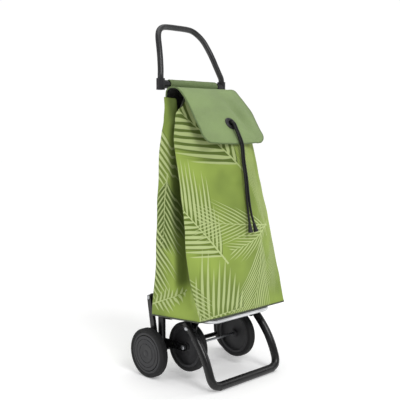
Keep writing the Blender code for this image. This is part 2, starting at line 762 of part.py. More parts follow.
def make_bag(root, paint, board_paint):
    rows = 13
    shape = bmesh.new()
    skins = []
    for inset, floor in ((0.0, BAG_BOTTOM), (-BAG_WALL, BAG_BOTTOM + BAG_WALL)):
        rings = []
        for row in range(rows):
            share = row / (rows - 1)
            ring = bag_loop(lambda kind, t: floor + (bag_top_of(kind, t) - floor) * share, inset)
            rings.append([shape.verts.new(p) for p in ring])
        for lower, upper in zip(rings, rings[1:]):
            for k in range(len(lower)):
                n = (k + 1) % len(lower)
                shape.faces.new((lower[k], lower[n], upper[n], upper[k]))
        shape.faces.new(rings[0])
        skins.append(rings[-1])
    outer, inner = skins
    for k in range(len(outer)):
        n = (k + 1) % len(outer)
        shape.faces.new((outer[k], outer[n], inner[n], inner[k]))
    add("bag_body", shape, paint, root)
    make_base_board(root, board_paint)


def make_base_board(root, paint):
    """The stiff board that keeps the bottom of the bag flat."""
    shape = bmesh.new()
    low = BAG_BOTTOM + BAG_WALL + 0.0006
    rings = []
    for level in (low, low + BOARD_THICKNESS):
        ring = bag_loop(lambda kind, t: level, -BAG_WALL - 0.004)
        rings.append([shape.verts.new(p) for p in ring])
    for k in range(len(rings[0])):
        n = (k + 1) % len(rings[0])
        shape.faces.new((rings[0][k], rings[0][n], rings[1][n], rings[1][k]))
    for ring in rings:
        shape.faces.new(ring)
    add("base_board", shape, paint, root)


def flap_row(place, half_width, forward, across):
    """Points over the flap's width. Its side edges lie further back than its middle."""
    y, z = place
    row = []
    for k in range(across + 1):
        share = 2 * k / across - 1
        row.append(Vector((half_width * share, y + forward * share**2, z)))
    return row


def sheet(rows, thickness):
    """A closed sheet under the given grid of points, by its surface normals."""
    shape = bmesh.new()
    outer = [[shape.verts.new(p) for p in row] for row in rows]
    inner = []
    for i, row in enumerate(rows):
        made = []
        for j, here in enumerate(row):
            along = rows[min(i + 1, len(rows) - 1)][j] - rows[max(i - 1, 0)][j]
            over = row[min(j + 1, len(row) - 1)] - row[max(j - 1, 0)]
            normal = over.cross(along).normalized()
            made.append(shape.verts.new(here + normal * thickness))
        inner.append(made)
    for grid in (outer, inner):
        for one, two in zip(grid, grid[1:]):
            for k in range(len(one) - 1):
                shape.faces.new((one[k], one[k + 1], two[k + 1], two[k]))
    rim_outer = outer[0] + [r[-1] for r in outer[1:]] + outer[-1][-2::-1] + [r[0] for r in outer[-2:0:-1]]
    rim_inner = inner[0] + [r[-1] for r in inner[1:]] + inner[-1][-2::-1] + [r[0] for r in inner[-2:0:-1]]
    for k in range(len(rim_outer)):
        n = (k + 1) % len(rim_outer)
        shape.faces.new((rim_outer[k], rim_outer[n], rim_inner[n], rim_inner[k]))
    return shape


def eyelet_place():
    """The middle of the eyelet on the flap's outer surface, and the surface's outward direction."""
    run = EYELET_T * (len(FLAP_LINE) - 1)
    i = int(run)
    one, two = Vector(FLAP_LINE[i]), Vector(FLAP_LINE[i + 1])
    place = one.lerp(two, run - i)
    slope = (two - one).normalized()
    return Vector((0, place.x, place.y)), Vector((0, slope.y, -slope.x))


def make_flap(root, paint, eyelet_paint):
    hinge = (0, FLAP_HINGE_Y, FLAP_HINGE_Z)
    flap_empty = empty("flap_hinge", hinge, root)
    count = len(FLAP_LINE)
    rows = []
    for i, (place, half_width) in enumerate(zip(FLAP_LINE, FLAP_WIDTHS)):
        rows.append(flap_row(place, half_width, 0.012 * i / (count - 1), 10))
    flap = add("flap", sheet(rows, FLAP_THICKNESS), paint, flap_empty, hinge)
    centre, outward = eyelet_place()
    hole = rod(centre - outward * 0.02, centre + outward * 0.02, EYELET_HOLE + 0.0032)
    boolean(flap, helper("flap_hole", hole, root), "DIFFERENCE")
    profile = (
        (0.0012, EYELET_HOLE + 0.0028),
        (0.0012, EYELET_RADIUS),
        (0.0026, EYELET_RADIUS - 0.001),
        (0.0040, EYELET_HOLE + 0.004),
        (0.0032, EYELET_HOLE),
        (-0.0060, EYELET_HOLE),
        (-0.0060, EYELET_HOLE + 0.0028),
    )
    add("eyelet", lathe(profile, centre, outward, 28), eyelet_paint, flap_empty, hinge)
    root_rows = [flap_row(place, FLAP_WIDTHS[0], 0.0, 6) for place in FLAP_ROOT_LINE]
    add("flap_root", sheet(root_rows, FLAP_THICKNESS), paint, root)
    return flap_empty


def make_drawstring(flap_empty, paint, end_paint):
    """Two strands out of the eyelet, each with a bell-shaped end."""
    for side, sign in SIDES:
        route = [Vector((sign * spread, y, z)) for spread, y, z in CORD_ROUTE]
        points = smooth_path(route, 2)
        line = bpy.data.curves.new(f"drawstring_{side}", "CURVE")
        line.dimensions = "3D"
        line.bevel_depth = CORD_RADIUS
        line.bevel_resolution = 2
        line.use_fill_caps = True
        spline = line.splines.new("POLY")
        spline.points.add(len(points) - 1)
        origin = Vector(flap_empty["layout"])
        for knot, place in zip(spline.points, points):
            knot.co = (*(place - origin), 1.0)
        cord = bpy.data.objects.new(f"drawstring_{side}", line)
        bpy.context.scene.collection.objects.link(cord)
        cord.parent = flap_empty
        line.materials.append(paint)
        heading = (points[-1] - points[-2]).normalized()
        start = points[-1] + heading * FIT_GAP
        profile = (
            (0, 0),
            (0, CORD_RADIUS + 0.0008),
            (CORD_END_LENGTH * 0.3, CORD_RADIUS + 0.0010),
            (CORD_END_LENGTH * 0.7, CORD_END_RADIUS * 0.75),
            (CORD_END_LENGTH * 0.92, CORD_END_RADIUS * 0.95),
            (CORD_END_LENGTH, CORD_END_RADIUS * 0.8),
            (CORD_END_LENGTH, 0),
        )
        shape = lathe(profile, start, heading, 16, closed=False)
        add(f"cord_end_{side}", shape, end_paint, flap_empty, flap_empty["layout"])


# ---------------------------------------------------------------- assembly


def main():
    clear_scene()
    paints = {
        "black": material("powder_black", (0.018, 0.018, 0.020), 0.38),
        "plastic": material("moulded_black", (0.022, 0.022, 0.024), 0.50),
        "aluminium": material("aluminium", (0.72, 0.73, 0.74), 0.30, 1.0),
        "steel": material("zinc_steel", (0.62, 0.63, 0.65), 0.28, 1.0),
        "tyre": material("tyre_foam", (0.030, 0.030, 0.032), 0.75),
        "rim": material("rim_plastic", (0.060, 0.062, 0.065), 0.50),
        "print": material("printed_fabric", (0.36, 0.48, 0.11), 0.80),
        "green": material("plain_fabric", (0.26, 0.42, 0.14), 0.75),
        "board": material("stiff_board", (0.05, 0.05, 0.05), 0.70),
        "cord": material("black_cord", (0.015, 0.015, 0.015), 0.60),
    }
    root = empty("trolley", (0, ORIGIN_SHIFT, 0))
    make_uprights(root, paints["aluminium"])
    make_base_brackets(root, paints["black"])
    make_platform_rail(root, paints["aluminium"])
    make_stand_hinges(root, paints["black"], paints["steel"])
    make_stand(root, paints["black"])
    make_fittings(root, paints["plastic"])
    make_crossbar(root, paints["black"], paints["green"])
    make_handle(root, paints["black"])
    make_front_wheels(root, paints)
    make_carriage(root, paints)
    make_bag(root, paints["print"], paints["board"])
    flap_empty = make_flap(root, paints["green"], paints["plastic"])
    make_drawstring(flap_empty, paints["cord"], paints["plastic"])


main()
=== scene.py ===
"""Wheeled fabric shopping trolley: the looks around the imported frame.

Metres, +Z up, -Y the front. "Layout" points have y = 0 on the line of the uprights and the rear
axle, and at() moves them to the frame's own origin.
"""

import json
import math

import bmesh
import bpy
import numpy as np
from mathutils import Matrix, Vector, noise


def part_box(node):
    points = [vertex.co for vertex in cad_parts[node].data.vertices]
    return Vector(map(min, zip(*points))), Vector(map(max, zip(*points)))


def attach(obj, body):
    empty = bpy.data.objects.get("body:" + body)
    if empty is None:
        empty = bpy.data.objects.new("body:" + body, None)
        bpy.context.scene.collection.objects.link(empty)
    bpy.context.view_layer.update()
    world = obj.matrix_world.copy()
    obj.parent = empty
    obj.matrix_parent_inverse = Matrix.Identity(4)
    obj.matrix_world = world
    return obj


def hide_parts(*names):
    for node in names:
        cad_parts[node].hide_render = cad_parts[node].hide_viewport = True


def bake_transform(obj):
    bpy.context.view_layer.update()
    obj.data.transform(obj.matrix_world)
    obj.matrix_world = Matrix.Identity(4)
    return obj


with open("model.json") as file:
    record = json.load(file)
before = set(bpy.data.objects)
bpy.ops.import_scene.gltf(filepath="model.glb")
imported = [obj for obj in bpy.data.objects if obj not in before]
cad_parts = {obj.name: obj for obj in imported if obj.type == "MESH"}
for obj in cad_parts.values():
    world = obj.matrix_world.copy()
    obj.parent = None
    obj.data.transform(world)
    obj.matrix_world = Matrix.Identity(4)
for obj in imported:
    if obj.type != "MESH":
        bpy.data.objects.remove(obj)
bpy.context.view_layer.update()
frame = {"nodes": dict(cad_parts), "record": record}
SIDES = (("left", 1), ("right", -1))
REAR_Y = (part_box("rear_spindle")[0][1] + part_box("rear_spindle")[1][1]) / 2


def at(x, y, z):
    """A layout point in the frame."""
    return Vector((x, y + REAR_Y, z))


def smooth_noise(x, y, z):
    return noise.noise(Vector((x, y, z)))


# ---------------------------------------------------------------- meshes

ON_AXIS = 1e-6  # a turned profile's radius below this is a single point
SHARP_ANGLE = 42  # degrees
OPEN_END_DEPTH = 0.03  # how deep the inside of an open tube end shows


def new_piece(
    name, verts, faces, paints, body=None, stands_for=(), uvs=None, smooth=True, ids=None
):
    """A mesh object. uvs holds one (u, v) in metres for each corner of each face, face by face."""
    mesh = bpy.data.meshes.new(name)
    mesh.from_pydata([tuple(v) for v in verts], [], [tuple(f) for f in faces])
    if uvs is not None:
        layer = mesh.uv_layers.new(name="cloth")
        layer.data.foreach_set("uv", np.asarray(uvs, np.float32).ravel())
    for paint in paints if isinstance(paints, (list, tuple)) else (paints,):
        mesh.materials.append(paint)
    if ids is not None:
        mesh.polygons.foreach_set("material_index", np.asarray(ids, np.int32))
    mesh.validate()
    if smooth:
        mesh.shade_smooth()
        mesh.set_sharp_from_angle(angle=math.radians(SHARP_ANGLE))
    made = bpy.data.objects.new(name, mesh)
    bpy.context.scene.collection.objects.link(made)
    if body:
        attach(made, body)
    if stands_for:
        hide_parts(*stands_for)
    return made


def add_wall(obj, thickness, inner_offset=0, rim_offset=0):
    """Thickens a sheet inwards. The offsets pick the paints of its inner side and its rim."""
    wall = obj.modifiers.new("wall", "SOLIDIFY")
    wall.thickness = thickness
    wall.offset = -1.0
    wall.material_offset = inner_offset
    wall.material_offset_rim = rim_offset


def face_out(obj, inside_out):
    """Makes the faces agree on one side, and turns them all round if inside_out(shape) says so."""
    shape = bmesh.new()
    shape.from_mesh(obj.data)
    loose = [v for v in shape.verts if not v.link_faces]
    bmesh.ops.delete(shape, geom=loose, context="VERTS")
    bmesh.ops.recalc_face_normals(shape, faces=shape.faces)
    if inside_out(shape):
        bmesh.ops.reverse_faces(shape, faces=shape.faces)
    shape.to_mesh(obj.data)
    shape.free()


def top_faces_down(shape):
    return max(shape.faces, key=lambda f: f.calc_center_median().z).normal.z < 0


def spline(points, steps):
    """Points on a Catmull-Rom curve through the given ones, with this many steps in each span."""
    knots = [np.array(p, float) for p in points]
    knots = [2 * knots[0] - knots[1], *knots, 2 * knots[-1] - knots[-2]]
    path = []
    for i in range(1, len(knots) - 2):
        a, b, c, d = knots[i - 1 : i + 3]
        for step in range(steps):
            t = step / steps
            square = (2 * a - 5 * b + 4 * c - d) * t**2
            path.append(0.5 * (2 * b + (c - a) * t + square + (3 * b - a - 3 * c + d) * t**3))
    path.append(knots[-2])
    return np.array(path)


def tube_faces(rings, sides, radius, run, closed=False):
    """Faces and uvs between rings of points, and with closed, from the last ring to the first."""
    faces, uvs = [], []
    for i in range(rings if closed else rings - 1):
        j = (i + 1) % rings
        for k in range(sides):
            n = (k + 1) % sides
            faces.append((i * sides + k, j * sides + k, j * sides + n, i * sides + n))
            a0, a1 = (2 * math.pi * radius * q / sides for q in (k, k + 1))
            uvs += [(a0, run[i]), (a0, run[i + 1]), (a1, run[i + 1]), (a1, run[i])]
    return faces, uvs


def run_along(path):
    """Distance from the start of a path to each of its points."""
    return np.concatenate([[0], np.cumsum(np.linalg.norm(np.diff(path, axis=0), axis=1))])


def frames_along(path, normal):
    """Sides and ups along a path, carried from its start without twist."""
    path = np.asarray(path, float)
    tangents = np.gradient(path, axis=0)
    tangents /= np.linalg.norm(tangents, axis=1)[:, None]
    up = Vector(normal) - Vector(tangents[0]) * Vector(normal).dot(Vector(tangents[0]))
    ups = [up.normalized()]
    for one, two in zip(tangents, tangents[1:]):
        ups.append((Vector(one).rotation_difference(Vector(two)) @ ups[-1]).normalized())
    ups = np.array(ups)
    return np.cross(tangents, ups), ups


def tube_mesh(path, radius, sides=32, normal=(0, 0, 1), wall=0.0):
    """Vertices, faces and uvs of a tube. Its ends are flat, or with a wall, open down to a cap."""
    path = np.asarray(path, float)
    count = len(path)
    side, up = frames_along(path, normal)
    run = run_along(path)
    turns = 2 * np.pi * (np.arange(sides) + 0.5) / sides
    verts, faces, uvs = [], [], []

    def add_ring(i, r):
        for a in turns:
            verts.append(path[i] + side[i] * math.sin(a) * r + up[i] * math.cos(a) * r)

    for i in range(count):
        add_ring(i, radius)
    for i in range(count - 1):
        for k in range(sides):
            n = (k + 1) % sides
            faces.append((i * sides + k, i * sides + n, (i + 1) * sides + n, (i + 1) * sides + k))
            u0, u1 = (2 * math.pi * radius * q / sides for q in (k, k + 1))
            uvs += [(u0, run[i]), (u1, run[i]), (u1, run[i + 1]), (u0, run[i + 1])]
    for i, order in ((0, -1), (count - 1, 1)):
        if wall:
            inner = len(verts)
            add_ring(i, radius - wall)
            deep = len(verts)
            inward = (path[1] - path[0]) if i == 0 else (path[-2] - path[-1])
            inward = inward / np.linalg.norm(inward) * min(OPEN_END_DEPTH, run[-1] / 3)
            for k in range(sides):
                verts.append(np.array(verts[inner + k]) + inward)
            for k in range(sides):
                n = (k + 1) % sides
                for quad in (
                    (i * sides + k, i * sides + n, inner + n, inner + k),
                    (inner + k, inner + n, deep + n, deep + k),
                ):
                    faces.append(quad if order > 0 else quad[::-1])
                    uvs += [(0, 0), (0.001, 0), (0.001, 0.001), (0, 0.001)]
            cap = [deep + k for k in range(sides)]
        else:
            cap = [i * sides + k for k in range(sides)]
        faces.append(tuple(cap if order > 0 else cap[::-1]))
        uvs += [(math.cos(a) * radius, math.sin(a) * radius) for a in turns]
    return verts, [f[::-1] for f in faces], flipped(uvs, faces)


def flipped(uvs, faces):
    """The corner uvs in the order of the reversed faces."""
    out, start = [], 0
    for face in faces:
        out += uvs[start : start + len(face)][::-1]
        start += len(face)
    return out


def tube(name, path, radius, paint, body, slot, stands_for, **shape):
    verts, faces, uvs = tube_mesh(path, radius, **shape)
    return new_piece(name, verts, faces, paint, body, stands_for, uvs)


def turned(name, profile, centre, axis, paint, body, stands_for, segments):
    """A closed body turned from (along, radius) points."""
    along = Vector(axis).normalized()
    across = Vector((0, 0, 1)) if abs(along.z) < 0.9 else Vector((0, 1, 0))
    across = (across - along * across.dot(along)).normalized()
    third = along.cross(across)
    verts, rings, faces, uvs = [], [], [], []
    for distance, radius in profile:
        if radius < ON_AXIS:
            rings.append([len(verts)] * segments)
            verts.append(Vector(centre) + along * distance)
            continue
        ring = []
        for k in range(segments):
            a = 2 * math.pi * k / segments
            out = across * math.cos(a) + third * math.sin(a)
            ring.append(len(verts))
            verts.append(Vector(centre) + along * distance + out * radius)
        rings.append(ring)
    solid = profile[0][1] < ON_AXIS and profile[-1][1] < ON_AXIS
    run = 0.0
    for i in range(len(rings) - 1 if solid else len(rings)):
        one, two = rings[i], rings[(i + 1) % len(rings)]
        (d0, r0), (d1, r1) = profile[i], profile[(i + 1) % len(rings)]
        step = math.hypot(d1 - d0, r1 - r0)
        for k in range(segments):
            n = (k + 1) % segments
            end = run + step
            quad = [(one[k], k, run), (one[n], k + 1, run), (two[n], k + 1, end), (two[k], k, end)]
            seen, kept = set(), []
            for vert, q, v in quad:
                if vert not in seen:
                    seen.add(vert)
                    kept.append((vert, (2 * math.pi * max(r0, r1) * q / segments, v)))
            if len(kept) > 2:
                faces.append([v for v, _ in kept])
                uvs += [uv for _, uv in kept]
        run += step
    made = new_piece(name, verts, faces, paint, None, (), uvs)
    face_out(made, lambda shape: shape.calc_volume(signed=True) < 0)
    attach(made, body)
    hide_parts(*stands_for)
    return made


# ---------------------------------------------------------------- materials

WEAVE_PITCH = 0.0011
WEAVE_DEPTH = 0.00012
FLECK = (0.9, 0.95, 0.8, 1.0)
CORD_RADIUS = 0.0033
BRAID_STRANDS = 8
BRAID_PITCH = 0.0045


class Graph:
    """A short way to write shader nodes. Any value may be a number, a tuple or a node's socket."""

    def __init__(self, tree):
        self.tree = tree

    def node(self, kind, **settings):
        made = self.tree.nodes.new(kind)
        for key, value in settings.items():
            setattr(made, key, value)
        return made

    def put(self, socket, value):
        if isinstance(value, bpy.types.NodeSocket):
            self.tree.links.new(value, socket)
        else:
            socket.default_value = value

    def math(self, operation, *values):
        made = self.node("ShaderNodeMath", operation=operation)
        for socket, value in zip(made.inputs, values):
            self.put(socket, value)
        return made.outputs[0]

    def plus(self, one, two):
        return self.math("ADD", one, two)

    def minus(self, one, two):
        return self.math("SUBTRACT", one, two)

    def times(self, one, two):
        return self.math("MULTIPLY", one, two)

    def ramp(self, value, low, high, to_low=0.0, to_high=1.0, smooth=True):
        made = self.node(
            "ShaderNodeMapRange", interpolation_type="SMOOTHSTEP" if smooth else "LINEAR"
        )
        for socket, given in zip(made.inputs, (value, low, high, to_low, to_high)):
            self.put(socket, given)
        return made.outputs[0]

    def mix(self, share, one, two):
        made = self.node("ShaderNodeMix", data_type="RGBA")
        self.put(made.inputs[0], share)
        self.put(made.inputs[6], one)
        self.put(made.inputs[7], two)
        return made.outputs[2]

    def split(self, vector):
        made = self.node("ShaderNodeSeparateXYZ")
        self.put(made.inputs[0], vector)
        return made.outputs[0], made.outputs[1], made.outputs[2]

    def join(self, x, y, z=0.0):
        made = self.node("ShaderNodeCombineXYZ")
        for socket, value in zip(made.inputs, (x, y, z)):
            self.put(socket, value)
        return made.outputs[0]

    def noise(self, vector, scale, detail=3.0, rough=0.5):
        made = self.node("ShaderNodeTexNoise")
        self.put(made.inputs["Vector"], vector)
        self.put(made.inputs["Scale"], scale)
        self.put(made.inputs["Detail"], detail)
        self.put(made.inputs["Roughness"], rough)
        return made.outputs[0]

    def scaled(self, vector, by):
        made = self.node("ShaderNodeVectorMath", operation="MULTIPLY")
        self.put(made.inputs[0], vector)
        made.inputs[1].default_value = by
        return made.outputs[0]

    def bump(self, height, distance, strength):
        made = self.node("ShaderNodeBump")
        made.inputs["Strength"].default_value = strength
        made.inputs["Distance"].default_value = distance
        self.put(made.inputs["Height"], height)
        return made.outputs[0]


def paint(name, **constants):
    """A material, its graph and its Principled shader, with the constants on its sockets."""
    made = bpy.data.materials.new(name)
    made.use_nodes = True
    shader = made.node_tree.nodes["Principled BSDF"]
    for key, value in constants.items():
        shader.inputs[key.replace("_", " ")].default_value = value
    return made, Graph(made.node_tree), shader


def rgb(r, g, b):
    """A colour given as display values from 0 to 255, made linear."""
    linear = [
        (c / 255 / 12.92) if c <= 10 else ((c / 255 + 0.055) / 1.055) ** 2.4 for c in (r, g, b)
    ]
    return (*linear, 1.0)


def object_place(g):
    return g.node("ShaderNodeTexCoord").outputs["Object"]


def cloth_uv(g):
    return g.node("ShaderNodeUVMap", uv_map="cloth").outputs[0]


def surface(g, shader, colour, roughness, normal):
    for name, value in (("Base Color", colour), ("Roughness", roughness), ("Normal", normal)):
        g.put(shader.inputs[name], value)


def toned(colour, by, lift=0.0):
    """The colour made darker or lighter."""
    return tuple(min(1, c * by + lift) for c in colour[:3]) + (1.0,)


def coated(name, colour, low, high, coat, grain, specular=0.5):
    """Painted or moulded surface: fine orange peel or grain, and roughness from low to high."""
    gloss = {"Coat_Weight": coat, "Coat_Roughness": 0.18, "Specular_IOR_Level": specular}
    made, g, shader = paint(name, **gloss)
    place = object_place(g)
    smears = g.noise(place, 22.0, 4.0, 0.6)
    fine = g.noise(place, grain, 2.0, 0.5)
    rough = g.ramp(smears, 0.3, 0.7, low, high)
    tone = g.mix(g.ramp(smears, 0.35, 0.75), colour, toned(colour, 1.35, 0.002))
    surface(g, shader, tone, rough, g.bump(fine, 0.00006, 0.35))
    return made


def bare_metal(name, colour, low, high, stretch, scale=260.0):
    """Drawn or plated metal, with fine lines along the stretched axis."""
    made, g, shader = paint(name, Metallic=1.0, Anisotropic=0.3)
    place = g.scaled(object_place(g), stretch)
    lines = g.noise(place, scale, 3.0, 0.55)
    cloud = g.noise(object_place(g), 14.0, 3.0, 0.5)
    both = g.plus(lines, g.times(cloud, 0.6))
    rough = g.ramp(both, 0.5, 1.1, low, high)
    tone = g.mix(g.ramp(cloud, 0.35, 0.7), colour, toned(colour, 0.82))
    surface(g, shader, tone, rough, g.bump(lines, 0.00003, 0.4))
    return made


def foam_rubber(name, colour):
    made, g, shader = paint(name, Specular_IOR_Level=0.35)
    place = object_place(g)
    dust = g.noise(place, 60.0, 5.0, 0.65)
    pores = g.noise(place, 900.0, 2.0, 0.5)
    tone = g.mix(g.ramp(dust, 0.45, 0.75), colour, toned(colour, 1.7, 0.006))
    surface(g, shader, tone, g.ramp(dust, 0.3, 0.7, 0.62, 0.82), g.bump(pores, 0.00012, 0.5))
    return made


def weave(g, pitch, strength):
    """A plain weave from two crossing sets of threads, in the cloth's own metres, as a bump."""
    u, v, _ = g.split(cloth_uv(g))
    turn = 2 * math.pi / pitch
    warp = g.math("SINE", g.times(u, turn))
    weft = g.math("SINE", g.times(v, turn))
    crossed = g.times(warp, weft)
    threads = g.plus(g.math("ABSOLUTE", warp), g.math("ABSOLUTE", weft))
    height = g.plus(crossed, g.times(threads, 0.5))
    return g.bump(height, WEAVE_DEPTH, strength)


def plain_cloth(name, colour, sheen=0.08, pitch=WEAVE_PITCH, contrast=0.12):
    made, g, shader = paint(name, Sheen_Weight=sheen, Sheen_Roughness=0.5, Specular_IOR_Level=0.3)
    place = object_place(g)
    cloud = g.noise(place, 9.0, 4.0, 0.55)
    fleck = g.noise(place, 700.0, 2.0, 0.5)
    dark, light = toned(colour, 1 - contrast), toned(colour, 1 + contrast)
    tone = g.mix(g.ramp(cloud, 0.3, 0.7), dark, light)
    tone = g.mix(g.times(g.ramp(fleck, 0.4, 0.7), 0.10), tone, FLECK)
    surface(g, shader, tone, g.ramp(cloud, 0.3, 0.7, 0.70, 0.86), weave(g, pitch, 0.6))
    return made


def frond_group():
    """One palm frond: how much leaflet and how much shade between leaflets is at a point."""
    tree = bpy.data.node_groups.new("frond", "ShaderNodeTree")
    names = ("Base U", "Base V", "Angle", "Length", "Reach Left", "Reach Right")
    names += ("Lean Left", "Lean Right", "Pitch", "Blade", "Bend", "Curl")
    tree.interface.new_socket("Place", in_out="INPUT", socket_type="NodeSocketVector")
    for name in names:
        tree.interface.new_socket(name, in_out="INPUT", socket_type="NodeSocketFloat")
    for name in ("Leaf", "Shade"):
        tree.interface.new_socket(name, in_out="OUTPUT", socket_type="NodeSocketFloat")
    g = Graph(tree)
    given = g.node("NodeGroupInput").outputs
    result = g.node("NodeGroupOutput").inputs
    u, v, _ = g.split(given["Place"])
    du, dv = g.minus(u, given["Base U"]), g.minus(v, given["Base V"])
    cosine, sine = g.math("COSINE", given["Angle"]), g.math("SINE", given["Angle"])
    along = g.plus(g.times(du, cosine), g.times(dv, sine))
    across = g.minus(g.times(dv, cosine), g.times(du, sine))
    across = g.minus(across, g.times(given["Bend"], g.times(along, along)))
    left = g.math("GREATER_THAN", across, 0.0)
    away = g.math("ABSOLUTE", across)

    def by_side(one, two):
        return g.plus(g.times(left, one), g.times(g.minus(1.0, left), two))

    lean = by_side(given["Lean Left"], given["Lean Right"])
    reach = by_side(given["Reach Left"], given["Reach Right"])
    bowed = g.times(given["Curl"], g.times(away, away))
    root = g.minus(along, g.plus(g.times(away, lean), bowed))
    share = g.math("DIVIDE", root, given["Length"])
    inside = g.times(g.math("GREATER_THAN", share, 0.0), g.math("LESS_THAN", share, 1.0))
    taper = g.minus(1.0, g.math("POWER", g.math("MAXIMUM", share, 0.0), 2.6))
    taper = g.math("POWER", g.math("MAXIMUM", taper, 0.0001), 0.8)
    taper = g.times(taper, g.ramp(share, -0.25, 0.22))
    leaflet = g.plus(g.math("DIVIDE", root, given["Pitch"]), g.times(left, 0.43))
    number = g.math("FLOOR", leaflet)
    chance = g.node("ShaderNodeTexWhiteNoise", noise_dimensions="1D")
    g.put(chance.inputs["W"], number)
    length_of = g.times(g.times(reach, taper), g.ramp(chance.outputs[0], 0.0, 1.0, 0.8, 1.08))
    out = g.math("DIVIDE", away, g.math("MAXIMUM", length_of, 0.0005))
    off = g.math("ABSOLUTE", g.minus(g.math("FRACT", leaflet), 0.5))
    narrow = g.minus(1.0, g.math("POWER", g.math("MINIMUM", out, 1.0), 2.2))
    half = g.times(g.times(given["Blade"], 0.5), g.times(narrow, g.ramp(out, -0.2, 0.25)))
    blade = g.ramp(g.minus(half, off), -0.05, 0.05)
    within = g.times(inside, g.math("LESS_THAN", out, 1.0))
    rib_half = g.times(g.minus(1.1, share), 0.0022)
    on_rib = g.math("DIVIDE", along, given["Length"])
    on_rib = g.times(g.math("GREATER_THAN", on_rib, -0.1), g.math("LESS_THAN", on_rib, 1.0))
    rib = g.times(g.math("LESS_THAN", away, rib_half), on_rib)
    g.put(result["Leaf"], g.math("MAXIMUM", g.times(blade, within), rib))
    g.put(result["Shade"], g.times(within, g.ramp(out, 1.0, 0.35)))
    return tree


# Each frond: base (u, v), heading in degrees, length, reach to its left and right, lean of the
# leaflets on each side, leaflet pitch, blade share, bend, curl, strength of leaflets and of shade.
FRONDS = (
    (-0.016, 0.648, 135, 0.27, 0.180, 0.075, 1.00, 1.00, 0.0270, 0.62, -0.5, 0.6, 0.72, 0.95),
    (-0.098, 0.388, 128, 0.28, 0.140, 0.118, 0.75, 1.20, 0.0178, 0.66, 0.0, 0.5, 0.90, 0.70),
    (0.092, 0.462, 173, 0.25, 0.065, 0.065, 2.20, 2.20, 0.0230, 0.42, 0.1, 2.0, 0.85, 0.25),
    (0.060, 0.432, 263, 0.30, 0.095, 0.130, 2.10, 2.00, 0.0205, 0.56, 0.0, 1.5, 0.85, 0.45),
    (0.100, 0.452, 105, 0.26, 0.050, 0.060, 3.60, 3.60, 0.0260, 0.50, 0.2, 3.0, 0.60, 0.25),
    (0.105, 0.462, 208, 0.18, 0.045, 0.040, 2.20, 2.20, 0.0230, 0.46, -0.9, 2.0, 0.85, 0.25),
    (-0.205, 0.200, 4, 0.20, 0.200, 0.010, 0.05, 0.50, 0.0180, 0.55, 0.0, 0.3, 0.80, 0.50),
    (-0.222, 0.345, 286, 0.17, 0.050, 0.050, 1.40, 1.40, 0.0180, 0.50, 0.3, 0.5, 0.70, 0.45),
    (0.205, 0.440, 238, 0.20, 0.060, 0.060, 1.90, 1.90, 0.0180, 0.45, 0.0, 1.0, 0.60, 0.30),
    (0.190, 0.700, 250, 0.22, 0.060, 0.070, 2.60, 2.60, 0.0240, 0.45, 0.1, 1.0, 0.55, 0.25),
    (1.214, 0.600, 270, 0.20, 0.060, 0.090, 1.30, 1.30, 0.0200, 0.46, 0.0, 0.5, 0.75, 0.95),
    (1.262, 0.765, 272, 0.16, 0.040, 0.100, 1.00, 1.00, 0.0205, 0.62, 0.0, 0.5, 0.90, 0.60),
    (1.275, 0.490, 271, 0.24, 0.020, 0.120, 0.84, 0.84, 0.0195, 0.60, 0.0, 0.5, 0.92, 0.90),
    (1.235, 0.232, 160, 0.13, 0.045, 0.035, 0.50, 0.50, 0.0165, 0.55, 0.0, 0.3, 0.85, 0.45),
)
LEAF_LIGHT = rgb(194, 208, 144)
LEAF_SHADE = rgb(84, 102, 42)
# Colour of the painted shade in the deep fold of the bag's side.
GUSSET_PAINTED_SHADE = rgb(34, 46, 14)
# Where the panels lie on the cloth: the front is about u = 0, a side starts at its rear corner.
SIDE_CORNER_U = 1.25
SIDE_FROM_U = 0.6
BACK_FROM_U = 1.6
BACK_U = 2.0
BOTTOM_U = 3.0


def print_cloth(name):
    made, g, shader = paint(name, Sheen_Weight=0.06, Sheen_Roughness=0.4, Specular_IOR_Level=0.25)
    u, v, _ = g.split(cloth_uv(g))
    # The back shows the front's print, mirrored about its own middle, BACK_U.
    behind = g.math("GREATER_THAN", u, BACK_FROM_U)
    mirrored = g.minus(BACK_U, u)
    u = g.plus(g.times(behind, mirrored), g.times(g.minus(1.0, behind), u))
    place = g.join(u, v)
    cloud = g.noise(object_place(g), 5.0, 3.0, 0.5)
    colour = g.mix(g.ramp(cloud, 0.3, 0.7), rgb(124, 144, 66), rgb(158, 180, 84))
    group = frond_group()
    for frond in FRONDS:
        made_node = g.node("ShaderNodeGroup", node_tree=group)
        g.put(made_node.inputs["Place"], place)
        *values, leaf, shade = frond
        values[2] = math.radians(values[2])
        for socket, value in zip(list(made_node.inputs)[1:], values):
            socket.default_value = value
        colour = g.mix(g.times(made_node.outputs["Shade"], shade), colour, LEAF_SHADE)
        colour = g.mix(g.times(made_node.outputs["Leaf"], leaf), colour, LEAF_LIGHT)
    # Painted shade: the folded part of the side, forward of its flat strip and above the lower
    # triangle, is darkened to stand for the shade in the deep fold.
    inward = g.minus(u, g.times(v, 0.15))
    painted_fold_shade = g.times(g.math("GREATER_THAN", u, SIDE_FROM_U), g.ramp(inward, 1.121, 1.099))
    painted_fold_shade = g.times(painted_fold_shade, g.ramp(v, 0.27, 0.31))
    colour = g.mix(g.times(painted_fold_shade, 0.62), colour, GUSSET_PAINTED_SHADE)
    rough = g.ramp(cloud, 0.3, 0.7, 0.68, 0.82)
    surface(g, shader, colour, rough, weave(g, WEAVE_PITCH, 0.5))
    return made


